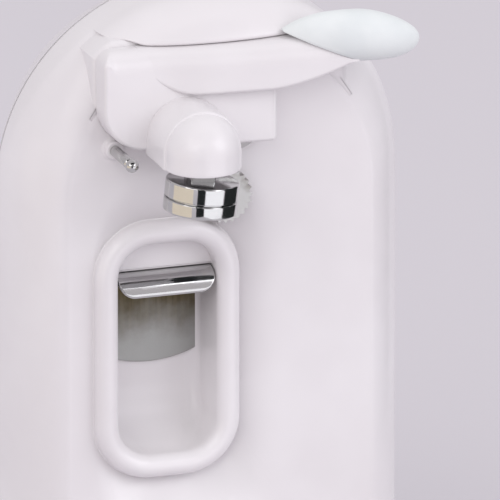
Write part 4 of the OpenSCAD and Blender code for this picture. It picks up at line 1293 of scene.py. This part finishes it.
@dataclass
class Lever:
    """The block with the flared hood over it, and the soft grip on its end."""

    left: float = -41.7
    low: float = 182.5
    drop: float = 0.75
    top: float = 215.0
    end_round: float = 13.6
    right: float = 15.7
    back: float = 0.5
    front: float = 9.4
    edge: float = 1.1
    crown: float = 6.6
    tuck: float = 0.12
    hood_line: float = 10.38
    flare: float = 0.0699
    hood_low: float = 200.0
    hood_flat: tuple[float, float] = (-11.0, 12.0)
    hood_right: float = 40.0
    hood_lip: float = 1.2
    joint: tuple[float, float, float] = (29.5, 212.3, -0.4183)

    def joint_line(self, x: np.ndarray) -> np.ndarray:
        """Height of the slanted joint between hood and grip."""
        return self.joint[1] + self.joint[2] * (x - self.joint[0])

    def hood_front(self, x: np.ndarray) -> np.ndarray:
        """Reach of the hood: a flared plane that grows smoothly out of the block.

        Args:
            x: Places across.

        Returns:
            The reach at each.
        """
        plane = self.hood_line + self.flare * (x - self.left)
        start = self.front - 0.4
        return start + (plane - start) * ease(x, -32.0, -4.0)

    def hood_edge(self, x: np.ndarray) -> np.ndarray:
        """Height of the hood's underside: flat over the cutter and rising to both ends.

        Args:
            x: Places across.

        Returns:
            The height at each.
        """
        near = np.maximum(self.hood_flat[0] - x, 0) / 18.0
        far = np.maximum(x - self.hood_flat[1], 0) / (self.hood_right - self.hood_flat[1])
        return self.hood_low + 9.0 * near ** 2 + 7.5 * far ** 1.6

    def block(self) -> None:
        """The block, with a wide round along its top and a small one on its other edges.

        An edge moves in by (e |nx|, E |nz|)(1 - cos a), with E the crown's radius on top.
        """
        top = self.top - self.tuck
        outline = filleted([(self.left, self.low + self.drop, self.end_round),
                            (self.right, self.low - self.drop, 1.6),
                            (self.right, top, 1.2), (self.left, top, 4.6)])
        inside = inward(outline)
        tall = self.edge + (self.crown - self.edge) * np.clip(-inside[:, 1], 0, 1) ** 2
        size = self.edge * inside[:, 0] ** 2 + tall * inside[:, 1] ** 2
        a = np.concatenate([quarter(8), [np.pi / 2]])[:, None]
        move = (1 - np.cos(a)) * np.stack([self.edge * inside[:, 0], tall * inside[:, 1]])[:, None]
        extra = np.zeros_like(a)
        extra[-1] = 0.15
        x = outline[:, 0] + move[0] + extra * inside[:, 0]
        z = outline[:, 1] + move[1] + extra * inside[:, 1]
        reach = self.front - size * (1 - np.sin(a))
        grid = np.concatenate([at(outline[None, :, 0], self.back, outline[None, :, 1]),
                               at(x, reach, z)])
        self.cut_slot(Mould().solid(grid).piece("lever_block", WHITE, Body.LEVER, "white_plastic",
                                                ["lever_body"]))

    def cut_slot(self, block: bpy.types.Object) -> None:
        """Opens the slot that the cutter wheel turns in.

        Args:
            block: The block.
        """
        low, high = extent("cutter_wheel")
        x = (low[0] + high[0]) / 2
        wide, tall = (high[0] - low[0]) / 2 + 1.0, high[2] + 0.6
        outline = rounded_box(x - wide, x + wide, self.low - 3, tall, (0.5, 0.5, 7.0, 7.0))
        tool = (Mould().slab(outline, low[1] - 0.4, high[1] + 0.4, 0.01, 0.01)
                .piece("slot_tool", WHITE, Body.LEVER))
        carve(block, tool)

    def hood(self) -> None:
        """The hood: a side section carried along x and cut off at the slanted joint.

        Its front rises from a small round at the underside and closes with
        reach = front - E (1 - cos b), z = c + E sin b, c the crown's centre E below the top,
        from the height where the small round ends up to the top or the joint.
        """
        x = np.concatenate([spread(-29.0, 22.0, 52), spread(22.4, 40.85, 44, 0.2)])[:, None]
        top = np.minimum(self.top, self.joint_line(x) - 0.05)
        low = np.minimum(self.hood_edge(x), top - 0.02)
        front = self.hood_front(x)
        e = np.minimum(self.hood_lip, 0.45 * (top - low))
        a = quarter(6)[None]
        bend = (front - e * (1 - np.sin(a)), low + e * (1 - np.cos(a)))
        knee = self.top - self.crown
        first = np.arcsin(np.clip((low + e - knee) / self.crown, 0, 1))
        last = np.maximum(np.arcsin(np.clip((top - knee) / self.crown, 0, 1)), first)
        pull = self.crown * (1 - np.cos(first))
        bend = (bend[0] - pull, bend[1])
        rise = np.linspace(0.0, 1.0, 8)[None, 1:]
        stop = np.clip(knee, low + e, np.maximum(top, low + e))
        wall = (front - pull + 0 * rise, low + e + (stop - low - e) * rise)
        b = first + (last - first) * np.linspace(0, 1, 14)[None, 1:]
        crown = (front - self.crown * (1 - np.cos(b)),
                 np.maximum(knee + self.crown * np.sin(b), wall[1][:, -1:]))
        reach = np.concatenate([bend[0], wall[0], crown[0]], 1)
        z = np.concatenate([bend[1], wall[1], crown[1]], 1)
        cut = ease(x, 21.0, 24.0)
        reach = reach - 0.2 * cut * np.clip(1 - (top - z) / 0.8, 0, 1) ** 2
        back = np.full((len(x), 1), self.back)
        grid = at(x, np.concatenate([back, reach, back], 1),
                  np.concatenate([low, z, z[:, -1:]], 1))
        Mould().solid(grid).piece("lever_hood", WHITE, Body.LEVER, "white_plastic")

    def grip(self) -> None:
        """The leaf-shaped grip: sections across x, cut off at the joint.

        A section is z = zc + h sin(w), reach = c + t |cos(w)|^0.9 sign(cos(w)); past the
        leaf's widest place both h and t fall as sqrt(1 - s^n) of the way s to the tip.
        """
        wide, tip = 41.0, 61.9
        x = np.concatenate([spread(18.4, wide, 60), wide + (tip - wide) * np.sin(
            np.linspace(0.0, np.pi / 2, 50)[1:])])[:, None]
        s = np.clip((x - wide) / (tip - wide), 0, 1)
        knots = np.array([18.0, 22.0, 25.0, 30.0, 36.0, 41.0, 49.0, 56.0, 62.0])
        upper = smooth(x, knots, [217.4, 220.0, 221.4, 222.7, 223.3, 223.3, 223.1, 222.9, 222.7])
        lower = smooth(x, knots, [211.5, 210.2, 209.2, 208.0, 207.1, 206.75, 206.7, 206.7, 206.7])
        centre = smooth(x, knots, [6.0, 7.7, 8.8, 9.9, 11.1, 11.6, 12.1, 12.3, 12.4])
        thick = smooth(x, knots, [2.6, 3.9, 4.8, 5.9, 6.9, 7.3, 7.4, 7.4, 7.4])
        mid = (upper + lower) / 2 + ease(x, wide, tip) * -2.0
        h = (upper - lower) / 2 * np.sqrt(np.maximum(1 - s ** 2.15, 0))
        t = thick * np.sqrt(np.maximum(1 - s ** 2.3, 0))
        cut = self.joint_line(x) + 0.1
        w0 = np.arcsin(np.clip((cut - mid) / np.maximum(h, 1e-4), -1, 0.999))
        w = w0 + (np.pi - 2 * w0) * np.linspace(0, 1, 57)[None]
        z = mid + h * np.sin(w)
        side = np.sign(np.cos(w)) * np.abs(np.cos(w)) ** 0.9
        edge = np.clip(1 - (z - cut) / 0.8, 0, 1) ** 2 * 0.22
        reach = centre + (t - np.minimum(edge, 0.5 * t)) * side
        (Mould().solid(at(x, reach, z))
         .piece("lever_soft_grip", SoftGrip("mint soft grip"), Body.LEVER, "soft_grip",
                ["lever_grip"]))


def smooth(x: np.ndarray, knots: Sequence[float], values: Sequence[float]) -> np.ndarray:
    """A smooth curve through knots.

    Cubic Hermite pieces, (2u^3-3u^2+1) y0 + (u^3-2u^2+u) m0 + (3u^2-2u^3) y1 + (u^3-u^2) m1,
    with each knot's slope taken from its two neighbours.

    Args:
        x: Where the curve is wanted.
        knots: Places of the knots, rising.
        values: Heights of the knots.

    Returns:
        The curve's heights, in x's shape.
    """
    knots, values = np.asarray(knots, float), np.asarray(values, float)
    slope = np.gradient(values, knots)
    i = np.clip(np.searchsorted(knots, x) - 1, 0, len(knots) - 2)
    span = knots[i + 1] - knots[i]
    u = np.clip((x - knots[i]) / span, 0, 1)
    return ((2 * u ** 3 - 3 * u ** 2 + 1) * values[i] + (u ** 3 - 2 * u ** 2 + u) * span * slope[i]
            + (3 * u ** 2 - 2 * u ** 3) * values[i + 1] + (u ** 3 - u ** 2) * span * slope[i + 1])


# ---------- Magnet ----------


@dataclass
class MagnetPod:
    """The vaulted pod on the lever and the plated magnet that hangs in it."""

    wall: float = 2.0
    back: float = 8.6
    rim: float = 0.5
    spring: float = 186.5
    neck: float = 27.0
    step: float = 0.6
    tilt: float = np.radians(6.0)
    offset: float = 1.1
    drop: float = 1.4
    disc: float = 11.75
    disc_low: float = 166.9
    disc_tall: float = 4.4
    stack: float = 10.4
    x: float = field(init=False)
    base: float = field(init=False)
    radius: float = field(init=False)

    def __post_init__(self) -> None:
        """Takes the pod's middle, base and width from the CAD pod."""
        low, high = extent("magnet_pod")
        self.x, self.base = (low[0] + high[0]) / 2, low[2] - self.drop
        self.radius = (high[0] - low[0]) / 2

    def skin(self, inset: float) -> np.ndarray:
        """One skin of the pod: a vault, a soft step, and a dome in front.

        A column has direction (dx, dz) and foot z0. On the vault a row of radius r gives
        (x + r dx, reach, z0 + r dz); on the dome r = R cos g and the reach is neck + R sin g.

        Args:
            inset: Distance inside the outer skin.

        Returns:
            Grid of (rows, columns).
        """
        a = quarter(4)
        t = np.linspace(np.pi, 0.0, 61)
        leg = np.concatenate([self.base + self.rim * (1 - np.cos(a)),
                              np.linspace(self.base + self.rim, self.spring, 6)[1:-1]])
        tuck = np.concatenate([self.rim * (1 - np.sin(a)), np.zeros(4)])
        dx = np.concatenate([-np.ones(len(leg)), np.cos(t), np.ones(len(leg))])
        dz = np.concatenate([np.zeros(len(leg)), np.sin(t), np.zeros(len(leg))])
        foot = np.concatenate([leg, np.full(len(t), self.spring), leg[::-1]])
        sign = -1.0 if inset else 1.0
        trim = sign * np.concatenate([tuck, np.zeros(len(t)), tuck[::-1]])
        full, dome = self.radius - inset, self.radius - self.step - inset
        round_ = quarter(5)
        r = np.concatenate([[full, full, full], full - 0.55 * (1 - np.cos(round_)), [dome - 0.12]])
        reach = np.concatenate([[self.back, 15.0, 23.0], self.neck - 0.85 + 0.75 * np.sin(round_),
                                [self.neck + 0.05]])
        radius = r[:, None] - trim
        vault = at(self.x + radius * dx, reach[:, None], foot + radius * dz)
        g = np.linspace(0.02, np.pi / 2, 36)[:, None]
        radius = dome - trim
        cap = at(self.x + radius * np.cos(g) * dx, self.neck + radius * np.sin(g),
                 foot + radius * np.cos(g) * dz)
        return np.concatenate([vault, cap])

    def pod(self) -> None:
        """Both skins, joined round the open underside and at the back."""
        outer, inner = self.skin(0.0), self.skin(self.wall)
        mould = Mould().sheet(outer).sheet(inner[:, ::-1])
        mould.sheet(np.stack([outer[0], inner[0]]))
        for column in (0, -1):
            mould.sheet(np.stack([outer[:, column], inner[:, column]]))
        mould.piece("magnet_pod_moulding", WHITE, Body.LEVER, "white_plastic", ["magnet_pod"])

    def upright(self, profile: Sequence[tuple[float, float]]) -> np.ndarray:
        """Turns a profile about the magnet's upright axis.

        Args:
            profile: (radius, height) along the surface.

        Returns:
            Grid of (profile, around).
        """
        r, z = np.array(profile, float).T[..., None]
        t = np.linspace(0.0, 2 * np.pi, 96, endpoint=False)
        return at(self.x + self.offset + r * np.cos(t), self.neck + r * np.sin(t), z)

    def keeper(self) -> None:
        """The keeper on its eye and the magnet under it, both hung at their resting tilt."""
        pivot = JOINTS["magnet_tilt"]["pos_m"]
        turn = (self.tilt, Vector(pivot))
        pin, r, low = pivot[2] / MM, self.disc, self.disc_low
        seat, lid = low + self.disc_tall, low + self.stack
        plate = [(0.0, seat), (r - 0.9, seat), (r - 0.9, seat + 0.35), (r - 0.15, seat + 0.5),
                 (r, seat + 0.7), *arc(r - 0.7, lid - 0.7, 0.7, 0.0), (0.0, lid)]
        eye = rounded_box(self.x - 4, self.x + 4, lid - 0.5, pin + 4, (0.3, 0.3, 3.98, 3.98))
        (Mould().sheet(self.upright(plate), around=True)
         .slab(eye, self.neck - 4, self.neck + 4, 0.4, 0.4)
         .piece("magnet_keeper_plate", CHROME, Body.MAGNET, "chrome", ["magnet_keeper"],
                turn=turn))
        disc = [(0.0, low), (4.0, low), (4.3, low + 0.3), (8.4, low + 0.3), (8.7, low),
                *arc(r - 0.6, low + 0.6, 0.6, -90.0), *arc(r - 0.5, seat - 0.5, 0.5, 0.0),
                (0.0, seat)]
        (Mould().sheet(self.upright(disc), around=True)
         .piece("magnet_cup", CHROME, Body.MAGNET, "chrome", ["magnet_disc"], turn=turn))


@dataclass
class GuidePin:
    """The plated pin with a ball end that steadies the can's rim."""

    radius: float = 1.8
    ball: float = 2.15

    def pin(self) -> None:
        """A shank, a neck and a ball: (ball cos t, centre + ball sin t)."""
        low, high = extent("can_guide_pin")
        x, z, centre = (low[0] + high[0]) / 2, (low[2] + high[2]) / 2, high[1] - self.ball
        start = np.arccos(1.25 / self.ball)
        t = np.linspace(-start, np.pi / 2, 22)
        ball = list(zip(self.ball * np.cos(t), centre + self.ball * np.sin(t)))
        neck = centre - self.ball * np.sin(start)
        shank = [(0.0, 0.0), (self.radius, 0.0), (self.radius, neck - 0.9),
                 (self.radius - 0.1, neck - 0.7), (1.3, neck - 0.35), (1.25, neck - 0.1)]
        (Mould().lathe([*shank, *ball], x, z, 40)
         .piece("can_guide_ball_pin", CHROME, slot="chrome", replaces=["can_guide_pin"]))


# ---------- CAD parts that keep their shape ----------


def round_part(node: str, kind: type, name: str, **sizes: Any) -> Finish:
    """A finish centred on a round CAD part.

    Args:
        node: The CAD node.
        kind: Class of finish with a centre.
        name: The finish's name.
        sizes: Other sizes of the finish.

    Returns:
        The finish.
    """
    low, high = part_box(node)
    middle = tuple((a + b) / 2 for a, b in zip(low, high))
    return kind(name, centre=middle, **sizes)


def dress_cad_parts() -> None:
    """Gives every CAD part that stays its own finish."""
    pressed, bronze = PressedSteel("zinc pressed steel"), SinteredBronze("sintered bronze")
    grey = MouldedPlastic("grey moulding", (0.30, 0.30, 0.31), (0.24, 0.24, 0.25), 0.42, 0.1)
    finishes = {
        FootRubber("pebbled foot rubber"): ["feet"],
        FootRubber("grey inlet rubber", (0.36, 0.36, 0.37)): ["cord_inlet_bushing"],
        # the rivets carry the same painted reflection towards their top
        FrostedPlate("blasted rivets", low=0.138, high=0.150): ["opener_rivets"],
        pressed: ["pivot_clip", "return_spring", "gear_plate", "motor_brackets", "motor_posts",
                  "gear_plate_screws", "motor_screws", "housing_screws"],
        bronze: ["pivot_bushing", "drive_bushings", "motor_bearings", "motor_pinion"],
        round_part("pivot_shaft", TurnedSteel, "ground pivot steel"): ["pivot_shaft", "magnet_pin"],
        round_part("cutter_wheel", TurnedSteel, "ground cutter steel", roughness=0.16,
                   pitch=0.00028): ["cutter_wheel", "cutter_axle"],
        round_part("drive_wheel", TurnedSteel, "hardened drive steel", roughness=0.28,
                   colour=(0.50, 0.50, 0.49)): ["drive_wheel", "drive_shaft"],
        round_part("rotor_shaft", TurnedSteel, "rotor steel"): ["rotor_shaft", "cluster_pin"],
        round_part("drive_gear", GearNylon, "drive gear nylon", rim=0.0252): ["drive_gear"],
        round_part("cluster_gear", GearNylon, "cluster gear nylon", rim=0.0222): ["cluster_gear"],
        round_part("switch_finger", GearNylon, "finger nylon", rim=0.05):
            ["switch_finger", "coil_bobbin"],
        Laminations("varnished stack"): ["stator", "rotor_core"],
        Winding("enamelled winding"): ["motor_coil"],
        grey: ["motor_fan", "switch_body"],
        MouldedPlastic("red moulding", (0.52, 0.05, 0.04), (0.44, 0.035, 0.03), 0.36, 0.2):
            ["switch_plunger"],
    }
    for finish, nodes in finishes.items():
        for node in nodes:
            for slot in frame["nodes"][node].material_slots:
                slot.material = finish.material()
            LOG.info("%s: %s", node, finish.name)


# ---------- Studio ----------


def prop(name: str, points: list, faces: list, finish: Finish) -> bpy.types.Object:
    """Puts a sheet in the studio that isn't a piece of the part.

    Args:
        name: The sheet's name.
        points: Its points, in metres.
        faces: Its faces.
        finish: Its finish.

    Returns:
        The sheet.
    """
    mesh = bpy.data.meshes.new(name)
    mesh.from_pydata(points, [], faces)
    mesh.materials.append(finish.material())
    made = bpy.data.objects.new(name, mesh)
    bpy.context.scene.collection.objects.link(made)
    return made


def aimed(name: str, data: bpy.types.ID, place: Vector, toward: Vector) -> bpy.types.Object:
    """Puts a lamp or a camera in the scene.

    Args:
        name: Its name.
        data: The lamp or the camera.
        place: Where it stands.
        toward: Direction that it looks in.

    Returns:
        The object.
    """
    holder = bpy.data.objects.new(name, data)
    bpy.context.scene.collection.objects.link(holder)
    holder.location = place
    holder.rotation_euler = toward.to_track_quat("-Z", "Y").to_euler()
    return holder


@dataclass(frozen=True)
class Softbox:
    """A rectangular lamp that looks at a point."""

    name: str
    place: tuple[float, float, float]
    aim: tuple[float, float, float]
    size: tuple[float, float]
    power: float
    colour: Colour

    def hang(self) -> None:
        """Puts the lamp in the scene."""
        lamp = bpy.data.lights.new(self.name, "AREA")
        lamp.shape, lamp.size, lamp.size_y = "RECTANGLE", *self.size
        lamp.energy, lamp.color = self.power, self.colour
        aimed(self.name, lamp, self.place, Vector(self.aim) - Vector(self.place))


@dataclass
class Studio:
    """Paper floor, lamps, world and camera."""

    target: tuple[float, float, float] = (0.0097, FACE_Y, 0.1433)
    azimuth: float = -18.5
    elevation: float = 17.5
    distance: float = 6.0
    density: float = 3.15
    frame: int = 500
    sensor: float = 36.0
    paper: Colour = (0.64, 0.61, 0.64)
    backdrop: Colour = (0.66, 0.625, 0.65)
    ambient: float = 0.86

    def floor(self) -> None:
        """One flat sheet of paper, wide enough to reach the horizon from every side."""
        side = np.linspace(-40.0, 40.0, 9)
        x, y = np.meshgrid(side, side, indexing="ij")
        sheet = Mould().sheet(np.stack([x, y, np.zeros_like(x)], -1))
        prop("paper_floor", sheet.points[0].tolist(), sheet.faces,
             StudioPaper("background paper", self.paper))

    def lamps(self) -> None:
        """A large warm key on the left and a large cool fill on the right."""
        aim = (0.0, 0.0, 0.15)
        Softbox("key", (-3.9, -3.7, 4.0), aim, (5.4, 4.5), 118.0, (1.0, 0.97, 0.955)).hang()
        Softbox("fill", (4.3, -4.3, 3.2), aim, (4.6, 4.2), 138.0, (0.95, 0.95, 1.0)).hang()

    def air(self) -> None:
        """The world: the paper's tone where it is seen, and a plain level for the light."""
        world = bpy.data.worlds.new("studio air")
        bpy.context.scene.world = world
        world.use_nodes = True
        nodes, links = world.node_tree.nodes, world.node_tree.links
        light = nodes["Background"]
        light.inputs["Color"].default_value = (0.93, 0.92, 0.96, 1.0)
        light.inputs["Strength"].default_value = self.ambient
        seen = nodes.new("ShaderNodeBackground")
        seen.inputs["Color"].default_value = (*self.backdrop, 1.0)
        path = nodes.new("ShaderNodeLightPath")
        shown = path.outputs["Is Camera Ray"]
        for ray in ("Is Glossy Ray", "Is Transmission Ray"):
            most = nodes.new("ShaderNodeMath")
            most.operation = "MAXIMUM"
            links.new(shown, most.inputs[0])
            links.new(path.outputs[ray], most.inputs[1])
            shown = most.outputs[0]
        blend = nodes.new("ShaderNodeMixShader")
        for number, link in enumerate((shown, light.outputs[0], seen.outputs[0])):
            links.new(link, blend.inputs[number])
        links.new(blend.outputs[0], nodes["World Output"].inputs["Surface"])

    def flags(self) -> None:
        """Dark and glowing cards out of the picture, seen only as bands in glossy surfaces.

        A card stands on the line from first to last between two heights, and its top edge is
        set back by its lean.
        """
        black, sand, white = (0.03, 0.034, 0.034), (0.80, 0.71, 0.57), (0.9, 0.9, 0.92)
        for name, first, last, low, high, lean, colour, glow in (
            ("card_left", (-0.50, 0.16), (-0.36, -0.40), 0.0, 0.24, 0.0, sand, 0.42),
            ("card_front", (-0.27, -0.47), (-0.085, -0.54), 0.0, 0.5, 0.0, black, 0.0),
            ("card_white", (-0.07, -0.54), (0.255, -0.26), 0.0, 0.16, 0.0, white, 0.8),
            ("card_right", (0.26, -0.24), (0.30, 0.14), 0.0, 0.5, 0.0, black, 0.0),
            ("card_over", (-0.30, -0.28), (0.16, -0.28), 0.40, 0.55, 0.15, black, 0.0),
        ):
            card = prop(name, [(*first, low), (*last, low), (last[0], last[1] + lean, high),
                               (first[0], first[1] + lean, high)], [(0, 1, 2, 3)],
                        StudioPaper(name, colour, glow))
            card.visible_camera = card.visible_diffuse = card.visible_shadow = False
            card.visible_transmission = False

    def camera(self) -> None:
        """The camera, whose lens gives density points per millimetre at the target."""
        a, e = np.radians(self.azimuth), np.radians(self.elevation)
        look = Vector((-np.sin(a) * np.cos(e), np.cos(a) * np.cos(e), -np.sin(e)))
        data = bpy.data.cameras.new("camera")
        data.sensor_width = self.sensor
        data.lens = self.density * self.sensor / self.frame * self.distance / MM
        data.clip_end = 120.0
        place = Vector(self.target) - look * self.distance
        bpy.context.scene.camera = aimed("camera", data, place, look)

    def build(self) -> None:
        """Sets up the whole studio."""
        bpy.context.scene.view_settings.view_transform = "Standard"
        self.floor()
        self.lamps()
        self.air()
        self.flags()
        self.camera()


def main() -> None:
    """Builds the studio, every piece in order, and dresses the CAD parts that stay."""
    logging.basicConfig(level=logging.INFO, format="%(name)s: %(message)s")
    Studio().build()
    opener = BottleOpener()
    housing = Housing()
    housing.shell(opener.outline(3.0))
    housing.tower()
    housing.brow()
    housing.guide_boss()
    RearCover().cover()
    opener.cup()
    opener.ledge()
    opener.plate()
    opener.lip()
    lever = Lever()
    lever.block()
    lever.hood()
    lever.grip()
    magnet = MagnetPod()
    magnet.pod()
    magnet.keeper()
    GuidePin().pin()
    dress_cad_parts()
    bpy.context.view_layer.update()


if __name__ == "__main__":
    main()
